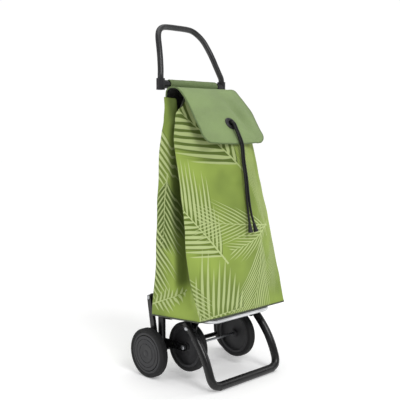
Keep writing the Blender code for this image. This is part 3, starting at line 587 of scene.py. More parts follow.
def braid(name):
    """Shiny braided cord: slanted strands in both directions round the tube, with painted shade in
    the grooves between them.
    """
    made, g, shader = paint(name, Specular_IOR_Level=0.35)
    u, v, _ = g.split(cloth_uv(g))
    around = g.times(u, 2 * math.pi * BRAID_STRANDS / (2 * math.pi * CORD_RADIUS))
    along = g.times(v, 2 * math.pi / BRAID_PITCH)
    one = g.math("SINE", g.plus(around, along))
    two = g.math("SINE", g.minus(around, along))
    height = g.math("MAXIMUM", one, two)
    # Painted shade: the grooves between the strands are coloured darker and the crests lighter.
    tone = g.mix(g.ramp(height, -0.5, 1.0), rgb(4, 4, 4), rgb(14, 14, 15))
    rough = g.ramp(height, -0.5, 1.0, 0.55, 0.34)
    surface(g, shader, tone, rough, g.bump(height, 0.0003, 0.7))
    return made


BLACK = coated("powder_black", rgb(15, 15, 16), 0.22, 0.34, 0.15, 700.0, 0.35)
HANDLE_BLACK = coated("handle_black", rgb(38, 38, 39), 0.30, 0.42, 0.1, 700.0, 0.4)
PLASTIC = coated("moulded_black", rgb(30, 29, 32), 0.38, 0.52, 0.0, 1500.0, 0.35)
CAP = coated("rim_plastic", rgb(44, 44, 46), 0.42, 0.55, 0.0, 1300.0, 0.35)
ALUMINIUM = bare_metal("aluminium", rgb(205, 207, 210), 0.22, 0.36, (1.0, 1.0, 0.02))
RAIL = bare_metal("aluminium_rail", rgb(222, 224, 226), 0.28, 0.42, (0.05, 1.0, 1.0))
STEEL = bare_metal("zinc_steel", rgb(190, 192, 196), 0.20, 0.34, (0.05, 1.0, 1.0), 500.0)
TYRE = foam_rubber("tyre_foam", rgb(22, 22, 23))
GREEN = plain_cloth("plain_green", rgb(130, 152, 96), contrast=0.10)
SLEEVE_GREEN = plain_cloth("sleeve_green", rgb(103, 122, 74), contrast=0.08)
BINDING = plain_cloth("binding_green", rgb(92, 112, 62), pitch=0.0022, contrast=0.10)
LINING = plain_cloth("black_lining", rgb(14, 14, 13), sheen=0.03, contrast=0.2)
PIPING = plain_cloth("dark_piping", rgb(58, 66, 44), sheen=0.1, contrast=0.2)
PRINT = print_cloth("leaf_print_and_painted_fold_shade")
CORD = braid("braided_cord_with_painted_groove_shade")
BOARD = coated("stiff_board", rgb(44, 44, 44), 0.6, 0.8, 0.0, 400.0)

# ---------------------------------------------------------------- camera, floor and lights

camera = bpy.data.objects.new("camera", bpy.data.cameras.new("camera"))
bpy.context.scene.collection.objects.link(camera)
camera.location = (-1.5607, REAR_Y - 1.6333, 0.7474)
camera.rotation_euler = (math.pi / 2 - 0.0969, 0, -0.7734)
camera.data.sensor_width = 36.0
camera.data.lens = 64.79
camera.data.clip_start = 0.05
bpy.context.scene.camera = camera

bpy.context.scene.view_settings.view_transform = "Standard"
SKY_LIGHT = 0.36  # how bright the sky lights the object, and how bright the camera sees it
SKY_SEEN = 1.02
world = bpy.data.worlds.new("studio")
world.use_nodes = True
sky = Graph(world.node_tree)
seen = sky.node("ShaderNodeLightPath").outputs["Is Camera Ray"]
world.node_tree.nodes["Background"].inputs[0].default_value = (1.0, 1.0, 1.0, 1.0)
strength = sky.ramp(seen, 0, 1, SKY_LIGHT, SKY_SEEN, smooth=False)
sky.put(world.node_tree.nodes["Background"].inputs[1], strength)
bpy.context.scene.world = world


def light(name, kind, place, target, energy):
    lamp = bpy.data.lights.new(name, kind)
    lamp.energy = energy
    made = bpy.data.objects.new(name, lamp)
    bpy.context.scene.collection.objects.link(made)
    made.location = place
    made.rotation_euler = (Vector(target) - Vector(place)).to_track_quat("-Z", "Y").to_euler()
    return lamp


def area_light(name, place, target, size, power):
    lamp = light(name, "AREA", place, target, power)
    lamp.shape = "RECTANGLE"
    lamp.size, lamp.size_y = size


def sun_light(name, place, strength, spread):
    light(name, "SUN", place, (0, 0, 0), strength).angle = math.radians(spread)


sun_light("key", (-0.5, -2.2, 2.2), 1.15, 22)
sun_light("top", (0.6, 0.2, 3.2), 1.0, 60)
area_light("strip", (-2.4, 0.6, 1.4), (0, 0, 0.8), (0.4, 1.8), 10)
area_light("side", (2.0, -1.2, 1.3), (0, 0, 0.5), (0.6, 1.6), 6)

FLOOR_REACH = 14.0


def make_floor():
    # A little glow hides the line where the floor meets the sky.
    made, g, shader = paint("floor", Roughness=0.6, Specular_IOR_Level=0.1, Emission_Strength=0.26)
    shader.inputs["Emission Color"].default_value = (1.0, 1.0, 1.0, 1.0)
    cloud = g.noise(object_place(g), 1.4, 3.0, 0.5)
    tone = g.mix(g.ramp(cloud, 0.3, 0.7), (0.86, 0.86, 0.86, 1), (0.89, 0.89, 0.89, 1))
    g.put(shader.inputs["Base Color"], tone)
    signs = ((-1, -1), (1, -1), (1, 1), (-1, 1))
    corners = [(x * FLOOR_REACH, y * FLOOR_REACH, 0) for x, y in signs]
    floor = new_piece("floor", corners, [(0, 1, 2, 3)], made, smooth=False)


make_floor()

# ---------------------------------------------------------------- drawstring

# How far a strand lies from the middle, its y and its z, as in the CAD route.
CORD_ROUTE = (
    (0.0038, -0.1560, 0.7608),
    (0.0038, -0.1641, 0.7667),
    (0.0038, -0.1703, 0.7693),
    (0.0038, -0.1770, 0.7673),
    (0.0038, -0.1820, 0.7605),
    (0.0038, -0.1868, 0.7521),
    (0.0038, -0.1938, 0.7398),
    (0.0039, -0.2020, 0.7250),
    (0.0040, -0.2098, 0.7080),
    (0.0040, -0.2135, 0.6880),
    (0.0040, -0.2165, 0.6600),
    (0.0042, -0.2266, 0.6100),
    (0.0046, -0.2342, 0.5550),
    (0.0062, -0.2420, 0.5080),
    (0.0092, -0.2500, 0.4780),
)
BELL_LENGTH = 0.027
BELL_RADIUS = 0.0085


def bell_profile():
    """The cord's end: a ribbed bell with a hollow mouth."""
    neck = CORD_RADIUS + 0.0012
    profile = [(0, 0), (0, CORD_RADIUS + 0.0006), (0.0008, neck)]
    for k in range(1, 15):
        t = k / 15
        radius = neck + (BELL_RADIUS - CORD_RADIUS - 0.0018) * t**1.6
        profile.append((BELL_LENGTH * t, radius - (0.0005 if k % 4 == 2 else 0.0)))
    mouth = ((BELL_LENGTH * 0.97, 0.9), (BELL_LENGTH, 0.78), (BELL_LENGTH, 0.5))
    hollow = BELL_LENGTH - 0.004
    mouth += ((hollow, 0.42), (hollow, 0))
    return profile + [(along, BELL_RADIUS * share) for along, share in mouth]


def make_cords():
    for side, sign in SIDES:
        route = spline([at(sign * x, y, z) for x, y, z in CORD_ROUTE], 5)
        slot, node = "black_cord", (f"drawstring_{side}",)
        cord = tube(f"cord_{side}", route, CORD_RADIUS, CORD, "flap", slot, node, sides=16)
        heading = Vector(route[-1] - route[-2]).normalized()
        start = Vector(route[-1]) + heading * 0.0003
        name, slot, node = f"bell_{side}", "moulded_black", (f"cord_end_{side}",)
        bell = turned(name, bell_profile(), start, heading, PLASTIC, "flap", node, 40)


make_cords()

# ---------------------------------------------------------------- bag

BAG_REAR_Y = -0.0128
BAG_FRONT_Y = -0.246
BAG_BOTTOM = 0.196
BAG_RISE = 0.0160
BAG_TOP = 0.845
BAG_SIDE_TOP = 0.700
BAG_HALF_WIDTH = 0.193
# Height, rear half-width, front half-width, front edge y, front middle y, depth of the side fold.
BAG_LEVELS = np.array(
    (
        (0.00, 0.974, 0.964, 0.912, 0.921, 0.000),
        (0.08, 0.949, 0.982, 0.851, 0.959, 0.022),
        (0.14, 0.928, 0.994, 0.802, 0.981, 0.034),
        (0.24, 0.892, 0.997, 0.723, 0.998, 0.040),
        (0.34, 0.876, 0.982, 0.657, 0.994, 0.044),
        (0.41, 0.866, 0.960, 0.622, 0.976, 0.046),
        (0.47, 0.858, 0.942, 0.586, 0.955, 0.048),
        (0.53, 0.848, 0.926, 0.539, 0.931, 0.050),
        (0.59, 0.834, 0.911, 0.498, 0.904, 0.052),
        (0.65, 0.815, 0.895, 0.458, 0.869, 0.054),
        (0.69, 0.802, 0.890, 0.428, 0.848, 0.055),
        (0.78, 0.769, 0.877, 0.366, 0.783, 0.056),
        (0.84, 0.731, 0.859, 0.341, 0.657, 0.056),
        (0.90, 0.678, 0.813, 0.331, 0.541, 0.056),
        (0.95, 0.681, 0.700, 0.322, 0.417, 0.056),
        (1.00, 0.699, 0.560, 0.284, 0.299, 0.054),
    )
)


def eased(x, xs, ys):
    """A smooth curve through the points that never swings past them."""
    slopes = np.diff(ys) / np.diff(xs)
    tangents = np.concatenate([[slopes[0]], np.zeros(len(xs) - 2), [slopes[-1]]])
    for i in range(1, len(xs) - 1):
        a, b = slopes[i - 1], slopes[i]
        tangents[i] = 0.0 if a * b <= 0 else 2 * a * b / (a + b)
    i = np.clip(np.searchsorted(xs, x, side="right") - 1, 0, len(xs) - 2)
    width = xs[i + 1] - xs[i]
    t = (x - xs[i]) / width
    return (
        ys[i] * (1 + 2 * t) * (1 - t) ** 2
        + tangents[i] * width * t * (1 - t) ** 2
        + ys[i + 1] * t**2 * (3 - 2 * t)
        - tangents[i + 1] * width * t**2 * (1 - t)
    )


HALF = [("back", t) for t in np.linspace(0, 1, 16)[:-1]]
HALF += [("rear_half", t) for t in np.linspace(0, 1, 20)[:-1]]
HALF += [("front_half", t) for t in np.linspace(0, 1, 24)[:-1]]
HALF += [("front", t) for t in np.linspace(0, 1, 44)]
KINDS = np.array([kind for kind, _ in HALF])
SHARES = np.array([share for _, share in HALF])
BAG_ROWS = 150
BAG_WALL = 0.0018
PIPING_RADIUS = 0.0021
FOLD_PUSH = 1.4  # how much deeper the cloth folds than the level's own number
# The side gusset: height, how far forward the flat strip reaches (share of the side), its width.
STRIP_LEVELS = np.array(
    (
        (0.00, 0.50, 0.990),
        (0.14, 0.52, 0.970),
        (0.34, 0.57, 0.935),
        (0.60, 0.50, 0.925),
        (0.84, 0.40, 0.915),
        (0.94, 0.42, 0.910),
        (1.00, 0.70, 0.820),
    )
)
STRIP_SHARE = 0.68
SIDE_LIP = 0.008
GUSSET_RISE = 0.088
RISE_REACH = 0.14  # up to this height the bag's front stands higher than its back


def bag_tops():
    """Height of the bag's mouth at each column of the half."""
    drop = BAG_TOP - BAG_SIDE_TOP
    tops = np.full(len(HALF), BAG_TOP)
    rear, front = KINDS == "rear_half", KINDS == "front_half"
    plunge = np.clip((SHARES[rear] - STRIP_SHARE) / (1 - STRIP_SHARE), 0, 1)
    tops[rear] = BAG_TOP - SIDE_LIP * SHARES[rear] - (drop - SIDE_LIP) * plunge**0.6
    tops[front] = BAG_SIDE_TOP + drop * SHARES[front] ** 0.7
    return tops


def bag_half():
    """Half the bag's skin as (row, column, xyz), from mid-back round to mid-front."""
    tops = bag_tops()
    grid = np.zeros((BAG_ROWS, len(HALF), 3))
    depth = BAG_FRONT_Y - BAG_REAR_Y
    heights, *levels = BAG_LEVELS.T
    for row in range(BAG_ROWS):
        z = BAG_BOTTOM + (tops - BAG_BOTTOM) * row / (BAG_ROWS - 1)
        h = (z - BAG_BOTTOM) / (BAG_TOP - BAG_BOTTOM)
        rear, front, edge, middle, fold = (eased(h, heights, level) for level in levels)
        rear, front = rear * BAG_HALF_WIDTH, front * BAG_HALF_WIDTH
        edge, middle = BAG_REAR_Y + depth * edge, BAG_REAR_Y + depth * middle
        reach, narrow = (eased(h, STRIP_LEVELS[:, 0], STRIP_LEVELS[:, k]) for k in (1, 2))
        side_depth = edge - BAG_REAR_Y
        strip_x, strip_y = rear * narrow, BAG_REAR_Y + side_depth * reach
        valley_x, valley_y = strip_x - FOLD_PUSH * fold, BAG_REAR_Y + side_depth * (reach + 0.10)
        flat = np.clip(SHARES / STRIP_SHARE, 0, 1)
        dive = np.clip((SHARES - STRIP_SHARE) / (1 - STRIP_SHARE), 0, 1)
        folded = {
            "rear_half": (
                rear + (strip_x - rear) * flat + (valley_x - strip_x) * dive,
                BAG_REAR_Y + (strip_y - BAG_REAR_Y) * flat + (valley_y - strip_y) * dive,
            ),
            "front_half": (
                valley_x + (front - valley_x) * SHARES,
                valley_y + (edge - valley_y) * SHARES,
            ),
        }
        # Below the crease the gusset is a flat triangle that stands on the bottom edge.
        allowed = FOLD_PUSH * fold * np.clip((z - BAG_BOTTOM) / GUSSET_RISE, 0, 1)
        x, y = front * (1 - SHARES), edge + (middle - edge) * (1 - (1 - SHARES) ** 2)
        for kind, (fold_x, fold_y) in folded.items():
            share = np.clip((fold_y - BAG_REAR_Y) / side_depth, 0, 1)
            chord_x, chord_y = rear + (front - rear) * share, BAG_REAR_Y + side_depth * share
            away = np.hypot(fold_x - chord_x, fold_y - chord_y)
            kept = np.minimum(1, allowed / np.maximum(away, 1e-6))
            x = np.where(KINDS == kind, chord_x + (fold_x - chord_x) * kept, x)
            y = np.where(KINDS == kind, chord_y + (fold_y - chord_y) * kept, y)
        x = np.where(KINDS == "back", rear * SHARES, x)
        y = np.where(KINDS == "back", BAG_REAR_Y, y)
        grid[row, :, 0], grid[row, :, 1], grid[row, :, 2] = x, y, z
    return grid


def bag_uvs(half):
    """Distance across each kind of panel over the half grid, in metres on the flat cloth."""
    steps = np.linalg.norm(np.diff(half[:, ::-1, :2], axis=1), axis=2)
    arc = np.concatenate([np.zeros((BAG_ROWS, 1)), np.cumsum(steps, axis=1)], axis=1)[:, ::-1]
    rear_corner = int(np.argmax(KINDS == "rear_half"))
    side = SIDE_CORNER_U + arc - arc[:, rear_corner : rear_corner + 1]
    return {"front": arc, "side": side, "back": half[:, :, 0]}


def bag_fold(kind, u, z, sign):
    """How far the cloth stands out of its panel at a point."""
    h = (z - BAG_BOTTOM) / (BAG_TOP - BAG_BOTTOM)
    edge_fade = min(1.0, h / 0.05)
    if kind == "front":
        s = u * sign
        value = 0.0035 * smooth_noise(s * 9, 3.1, z * 3.2)
        value += 0.0022 * smooth_noise(s * 26, 7.7, z * 4.0) * (0.4 + h)
        value += 0.0016 * smooth_noise(s * 14 + z * 22, 1.7, z * 6 - s * 10)
        gather = max(0.0, (h - 0.72) / 0.28)
        value += 0.0045 * gather * math.sin(s * 120 + 2.0 * smooth_noise(s * 8, 0.3, z * 9))
        crease = math.exp(-(((z - 0.588) / 0.006) ** 2))
        value -= 0.0030 * crease * max(0.0, 1 - ((s - 0.005) / 0.075) ** 2)
        return value * edge_fade
    if kind == "side":
        d = SIDE_CORNER_U - u
        value = 0.0035 * smooth_noise(d * 14 + 5 * sign, 2.2, z * 11)
        value += 0.0025 * smooth_noise(d * 30 - z * 18, 9.4 * sign, z * 16)
        return value * edge_fade
    return (0.002 * smooth_noise(u * 9, 5.5, z * 6)) * edge_fade


def make_bag():
    half = bag_half()
    # Round the sharp corners of each ring a little, as folded cloth does.
    ring = np.concatenate([half, (half * (-1, 1, 1))[:, -2:0:-1]], axis=1)
    for _ in range(2):
        ring = 0.25 * np.roll(ring, 1, axis=1) + 0.5 * ring + 0.25 * np.roll(ring, -1, axis=1)
    fields = bag_uvs(half)
    count, columns = len(HALF), ring.shape[1]
    source = [(c, 1) for c in range(count)] + [(c, -1) for c in range(count - 2, 0, -1)]
    side_kinds = {"back": "back", "rear_half": "side", "front_half": "side", "front": "front"}

    along = np.gradient(ring, axis=0)
    around = (np.roll(ring, -1, axis=1) - np.roll(ring, 1, axis=1)) / 2
    normals = np.cross(along, around)
    normals /= np.maximum(np.linalg.norm(normals, axis=2), 1e-9)[:, :, None]
    centre = np.array([0, (BAG_REAR_Y + BAG_FRONT_Y) / 2, 0.5])
    if (normals * (ring - centre)).sum() < 0:
        normals = -normals
    push = np.zeros(ring.shape[:2])
    for j, (c, sign) in enumerate(source):
        kind = side_kinds[KINDS[c]]
        for i in range(BAG_ROWS):
            push[i, j] = bag_fold(kind, fields[kind][i, c], ring[i, j, 2], sign)
    for _ in range(4):
        push = 0.25 * np.roll(push, 1, axis=1) + 0.5 * push + 0.25 * np.roll(push, -1, axis=1)
    skin = ring + normals * push[:, :, None]
    skin[:, :, 1] = np.minimum(skin[:, :, 1], BAG_REAR_Y + 0.0012)
    share = np.clip(1 - (skin[:, :, 2] - BAG_BOTTOM) / RISE_REACH, 0, 1)
    skin[:, :, 2] += BAG_RISE * share * (BAG_REAR_Y - skin[:, :, 1]) / (BAG_REAR_Y - BAG_FRONT_Y)

    verts = [at(*p) for p in skin.reshape(-1, 3)]
    faces, uvs = [], []
    for i in range(BAG_ROWS - 1):
        for j in range(columns):
            n = (j + 1) % columns
            (c0, s0), (c1, s1) = source[j], source[n]
            kind = side_kinds[KINDS[min(c0, c1)]]
            sign = min(s0, s1)
            here, above = i * columns, (i + 1) * columns
            faces.append((here + j, here + n, above + n, above + j))
            for row, col in ((i, c0), (i, c1), (i + 1, c1), (i + 1, c0)):
                value = fields[kind][row, col]
                u = {"front": sign * value, "side": value, "back": BACK_U + sign * value}[kind]
                uvs.append((u, half[row, col, 2]))
    bottom = list(range(columns))[::-1]
    faces.append(tuple(bottom))
    uvs += [(BOTTOM_U + skin[0, j, 0], skin[0, j, 1]) for j in bottom]
    ids = [0] * (len(faces) - 1) + [2]
    bag = new_piece("bag_skin", verts, faces, (PRINT, LINING, LINING), uvs=uvs, ids=ids)
    # The bottom is the face with the most corners, and it looks down.
    face_out(bag, lambda shape: max(shape.faces, key=lambda f: len(f.verts)).normal.z > 0)
    add_wall(bag, BAG_WALL, 1, 1)
    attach(bag, "frame")
    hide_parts("bag_body")

    hem = skin[0, ::2] + normals[0, ::2] * 0.0002
    loop = [at(*p) + Vector((0, 0, 0.0008)) for p in hem]
    verts, faces, uvs = loop_tube(loop, PIPING_RADIUS, 10)
    new_piece("bag_bottom_piping", verts, faces, PIPING, "frame", uvs=uvs)


def loop_tube(points, radius, sides):
    """A tube round a closed loop of points."""
    path = np.array([tuple(p) for p in points])
    count = len(path)
    tangents = np.roll(path, -1, axis=0) - np.roll(path, 1, axis=0)
    tangents /= np.linalg.norm(tangents, axis=1)[:, None]
    up = np.array([0, 0, 1.0])
    verts = []
    for i in range(count):
        side = np.cross(tangents[i], up)
        side /= np.linalg.norm(side)
        third = np.cross(side, tangents[i])
        for k in range(sides):
            a = 2 * math.pi * k / sides
            verts.append(path[i] + (side * math.cos(a) + third * math.sin(a)) * radius)
    run = run_along([*path, path[0]])
    return verts, *tube_faces(count, sides, radius, run, closed=True)


make_bag()

# ---------------------------------------------------------------- flap

# Half-width, y and z along the flap, from its root to its lower edge.
FLAP_LINE = (
    (0.124, -0.0160, 0.8380),
    (0.124, -0.0175, 0.8590),
    (0.124, -0.0220, 0.8670),
    (0.124, -0.0300, 0.8720),
    (0.124, -0.0400, 0.8745),
    (0.122, -0.0670, 0.8700),
    (0.121, -0.0930, 0.8500),
    (0.124, -0.1180, 0.8255),
    (0.127, -0.1370, 0.8030),
    (0.128, -0.1560, 0.7780),
    (0.128, -0.1690, 0.7600),
    (0.128, -0.1830, 0.7400),
    (0.128, -0.1950, 0.7230),
    (0.127, -0.2040, 0.7090),
)
FLAP_ROOT_ROWS = 4
FLAP_STEPS = 6
FLAP_CORNER = 0.036
FLAP_WALL = 0.0026
BINDING_RADIUS = 0.0023
BINDING_STEP = 0.0035
EYELET_T = 0.63
EYELET_HOLE = 0.0125
EYELET_FLAT = 0.024  # no crease comes nearer to the eyelet's middle than this
# A dent and a ridge beside the eyelet: height, distance from the middle, width and length.
FLAP_CREASES = ((-0.0080, 0.055, 0.016, 0.05), (0.0050, 0.085, 0.018, 0.06))


def flap_surface():
    """The flap's grid of points, its outward directions and its flat (x, run) places."""
    line = spline(FLAP_LINE, FLAP_STEPS)
    run = run_along(line[:, 1:])
    start = run[FLAP_ROOT_ROWS * FLAP_STEPS]
    end = run[-1]
    rows, uvs = [], []
    across = 48
    for i, (width, y, z) in enumerate(line):
        left = end - run[i]
        if left < FLAP_CORNER:
            width -= FLAP_CORNER - math.sqrt(max(0.0, FLAP_CORNER**2 - (FLAP_CORNER - left) ** 2))
        share = max(0.0, (run[i] - start) / (end - start))
        row, uv = [], []
        for k in range(across + 1):
            s = 2 * k / across - 1
            x = width * s
            row.append(tuple(Vector((x, y + 0.012 * share * s * s, z))))
            uv.append((x, run[i]))
        rows.append(row)
        uvs.append(uv)
    grid = np.array(rows)
    uvs = np.array(uvs)
    normals = np.cross(np.gradient(grid, axis=1), np.gradient(grid, axis=0))
    normals /= np.maximum(np.linalg.norm(normals, axis=2), 1e-9)[:, :, None]
    if normals[:, :, 2].sum() < 0:
        normals = -normals
    push = np.zeros(grid.shape[:2])
    for i in range(grid.shape[0]):
        for j in range(grid.shape[1]):
            x, s = uvs[i, j]
            share = max(0.0, (s - start) / (end - start))
            value = 0.0016 * smooth_noise(x * 16, s * 11, 2.0)
            value += 0.0040 * share * smooth_noise(x * 22 + s * 18, s * 9, 6.0)
            for height, middle, width, length in FLAP_CREASES:
                slanted = (x - middle - (s - 0.18) * 0.25) / width
                value += height * math.exp(-(slanted**2) - ((s - 0.185) / length) ** 2)
            from_eyelet = math.hypot(x, s - eyelet_run) - EYELET_FLAT
            value *= min(1.0, max(0.0, from_eyelet / 0.02))
            push[i, j] = value * min(1.0, max(0.0, (s - start) / 0.03))
    return grid + normals * push[:, :, None], normals, uvs


def eyelet_place():
    """Middle of the eyelet, the surface's outward direction there, and the run along the flap."""
    line = [(y, z) for _, y, z in FLAP_LINE]
    run = EYELET_T * (len(line) - 1 - FLAP_ROOT_ROWS)
    i = FLAP_ROOT_ROWS + int(run)
    share = run - int(run)
    one, two = Vector(line[i]), Vector(line[i + 1])
    place = one.lerp(two, share)
    slope = (two - one).normalized()
    lengths = np.linalg.norm(np.diff(line, axis=0), axis=1)
    along = lengths[:i].sum() + lengths[i] * share
    return Vector((0, place.x, place.y)), Vector((0, slope.y, -slope.x)), float(along)


eyelet_centre, eyelet_out, eyelet_run = eyelet_place()


def make_flap():
    grid, normals, uv_grid = flap_surface()
    rows, columns = grid.shape[:2]
    verts = [at(*p) for p in grid.reshape(-1, 3)]
    faces, uvs = [], []
    for i in range(rows - 1):
        for j in range(columns - 1):
            corners = ((i, j), (i, j + 1), (i + 1, j + 1), (i + 1, j))
            middle = np.mean([grid[c] for c in corners], axis=0)
            if np.linalg.norm(middle - np.array(eyelet_centre)) < EYELET_HOLE:
                continue
            faces.append([r * columns + c for r, c in corners])
            uvs += [tuple(uv_grid[c]) for c in corners]
    flap = new_piece("flap_cloth", verts, faces, (GREEN, LINING, BINDING), uvs=uvs)
    face_out(flap, top_faces_down)
    add_wall(flap, FLAP_WALL, 1, 2)
    apply_modifiers(flap)
    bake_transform(flap)
    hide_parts("flap", "flap_root")

    edge, outward = (np.concatenate([g[:, 0], g[-1, 1:-1], g[::-1, -1]]) for g in (grid, normals))
    path = np.array([np.array(at(*p)) - n * FLAP_WALL / 2 for p, n in zip(edge, outward)])
    keep = [0]
    for i in range(1, len(path)):
        if np.linalg.norm(path[i] - path[keep[-1]]) > BINDING_STEP:
            keep.append(i)
    verts, faces, uvs = tube_mesh(path[keep], BINDING_RADIUS, sides=10, normal=(1, 0, 0))
    binding = new_piece("flap_binding", verts, faces, BINDING, uvs=uvs)
    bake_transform(binding)

    profile = [(-0.0060, 0.0095), (0.0030, 0.0095), (0.0040, 0.0104), (0.0046, 0.0124)]
    profile += [(0.0042, 0.0160), (0.0030, 0.0195), (0.0016, 0.0210), (0.0010, 0.0210)]
    profile += [(0.0010, 0.0125), (-0.0060, 0.0122)]
    centre = at(*eyelet_centre)
    slot, node = "moulded_black", ("eyelet",)
    turned("eyelet_ring", profile, centre, eyelet_out, PLASTIC, "flap", node, 56)


def apply_modifiers(obj):
    bpy.context.view_layer.update()
    graph = bpy.context.evaluated_depsgraph_get()
    mesh = bpy.data.meshes.new_from_object(obj.evaluated_get(graph), depsgraph=graph)
    obj.modifiers.clear()
    obj.data = mesh


make_flap()

# ---------------------------------------------------------------- tubes

WHEEL_RADIUS = 0.075
UPRIGHT_X = 0.130
UPRIGHT_FOOT = 0.120
UPRIGHT_TOP = 0.873
CROSSBAR_HALF = 0.116
AXLE_TUBE_HALF = 0.1467
STAND_RADIUS = 0.0125
STAND_HALF = 0.1442
STAND_TOP = 0.171
STAND_TOP_Y = -0.1375
STAND_DEPTH = 0.0960
RAIL_HALF = 0.122
RAIL_Z = 0.178
RAIL_RISE = 0.022
RAIL_BEND = 0.026
RAIL_BEND_Y = -0.1895
RAIL_FRONT_Y = -0.2155
HANDLE_TOP = 1.066
HANDLE_LEAN = 0.069
CROSSBAR_Z = 0.884
HANDLE_FOOT = CROSSBAR_Z + 0.0068
# Shares of the half-width, the lean and the rise, from a foot to near the middle.
HANDLE_KNOTS = (
    (1.000, 0.00, 0.00),
    (1.000, 0.00, 0.045),
    (1.000, 0.00, 0.080),
    (0.990, 0.02, 0.130),
    (0.960, 0.08, 0.205),
    (0.912, 0.20, 0.340),
    (0.866, 0.33, 0.480),
    (0.818, 0.48, 0.618),
    (0.762, 0.65, 0.755),
    (0.712, 0.76, 0.835),
    (0.640, 0.87, 0.905),
    (0.535, 0.95, 0.963),
    (0.400, 0.99, 0.992),
    (0.200, 1.00, 1.000),
)
# Shares of the half-width, the depth and the drop, from a hinge to near the middle.
STAND_KNOTS = (
    (1.0, -0.135, -0.082),
    (1.0, 0.18, 0.11),
    (1.0, 0.385, 0.245),
    (1.0, 0.568, 0.390),
    (1.0, 0.720, 0.548),
    (1.0, 0.840, 0.713),
    (0.992, 0.925, 0.855),
    (0.935, 0.975, 0.950),
    (0.815, 0.996, 0.993),
    (0.680, 1.0, 1.0),
)


def mirrored(half, middle=()):
    """The half path, the middle and the half path again on the other side."""
    return [*half, *middle, *[Vector((-p[0], p[1], p[2])) for p in reversed(half)]]


def rail_z(y):
    """The rail slopes up a little from the uprights to its front."""
    return RAIL_Z + RAIL_RISE * y / RAIL_FRONT_Y


def handle_path():
    rise = HANDLE_TOP - HANDLE_FOOT
    half = [at(UPRIGHT_X * a, HANDLE_LEAN * b, HANDLE_FOOT + rise * c) for a, b, c in HANDLE_KNOTS]
    return spline(mirrored(half, [at(0, HANDLE_LEAN, HANDLE_TOP)]), 8)


def stand_path():
    drop = STAND_TOP - STAND_RADIUS
    half = [
        at(STAND_HALF * a, STAND_TOP_Y - STAND_DEPTH * b, STAND_TOP - drop * c)
        for a, b, c in STAND_KNOTS
    ]
    return spline(mirrored(half), 8)


def rail_path():
    straight = (-0.0095, -0.03, -0.06, -0.10, -0.14, -0.17, RAIL_BEND_Y)
    half = [at(RAIL_HALF, y, rail_z(y)) for y in straight]
    for k in range(1, 13):
        angle = math.pi / 2 * k / 12
        y = RAIL_BEND_Y - RAIL_BEND * math.sin(angle)
        half.append(at(RAIL_HALF - RAIL_BEND * (1 - math.cos(angle)), y, rail_z(y)))
    front = [at(x, RAIL_FRONT_Y, rail_z(RAIL_FRONT_Y)) for x in (0.07, 0.04, 0.01)]
    return mirrored(half + front)


def across_path(half_width, z):
    return [at(x, 0, z) for x in np.linspace(-half_width, half_width, 24)]


def make_tubes():
    for side, sign in SIDES:
        path = [at(sign * UPRIGHT_X, 0, z) for z in np.linspace(UPRIGHT_FOOT, UPRIGHT_TOP, 40)]
        name, node = f"upright_tube_{side}", f"upright_{side}"
        tube(name, path, 0.008, ALUMINIUM, "frame", "aluminium", (node,), sides=40)
    path, slot, node = handle_path(), "powder_black", ("handle",)
    tube("handle_tube", path, 0.009, HANDLE_BLACK, "frame", slot, node, sides=36, normal=(0, 1, 0))
    path, node = stand_path(), ("folding_stand",)
    tube("stand_tube", path, STAND_RADIUS, BLACK, "stand", slot, node, sides=40, wall=0.0016)
    path, node = rail_path(), ("platform_rail",)
    tube("rail_tube", path, 0.008, RAIL, "frame", "aluminium", node, sides=36)
    path, node = across_path(CROSSBAR_HALF, CROSSBAR_Z), ("crossbar",)
    tube("crossbar_tube", path, 0.011, BLACK, "frame", slot, node, sides=36)
    path, node = across_path(AXLE_TUBE_HALF, WHEEL_RADIUS), ("rear_axle_tube",)
    tube("axle_tube", path, 0.007, BLACK, "carriage", slot, node, sides=28)


make_tubes()


SLEEVE_HALF = 0.100
SLEEVE_RADIUS = 0.0151
SLEEVE_WALL = 0.0025


def make_sleeve():
    """The cloth sleeve round the crossbar: a soft tube, hemmed, with a seam underneath."""
    xs = np.linspace(-SLEEVE_HALF, SLEEVE_HALF, 81)
    sides = 48
    verts = []
    for x in xs:
        from_end = SLEEVE_HALF - abs(x)
        end = min(1.0, from_end / 0.004)
        hem = 0.0007 * math.exp(-((from_end - 0.010) / 0.0016) ** 2)
        for k in range(sides):
            a = 2 * math.pi * k / sides
            radius = SLEEVE_RADIUS - 0.0022 * (1 - end) ** 2 - hem
            radius += 0.0006 * smooth_noise(x * 45, math.cos(a) * 1.6, math.sin(a) * 1.6)
            radius += 0.0020 * math.exp(-(((a - math.pi) / 0.16) ** 2))
            verts.append(at(x, math.sin(a) * radius, CROSSBAR_Z + math.cos(a) * radius))
    faces, uvs = tube_faces(len(xs), sides, 0.0155, xs)
    sleeve = new_piece("sleeve_cloth", verts, faces, (SLEEVE_GREEN, LINING), uvs=uvs)
    face_out(sleeve, top_faces_down)
    add_wall(sleeve, SLEEVE_WALL)
    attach(sleeve, "frame")
    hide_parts("crossbar_sleeve")


make_sleeve()

# ---------------------------------------------------------------- wheels

WHEEL_HALF = 0.013
TYRE_INNER = 0.0625
REAR_WHEEL_X = 0.1825
FRONT_WHEEL_X = 0.1055
FRONT_AXLE_Y = -0.0905
FRONT_AXLE_Z = 0.098


def both_sides(half, middle=()):
    return [*half, *middle, *[(-x, r) for x, r in reversed(half)]]


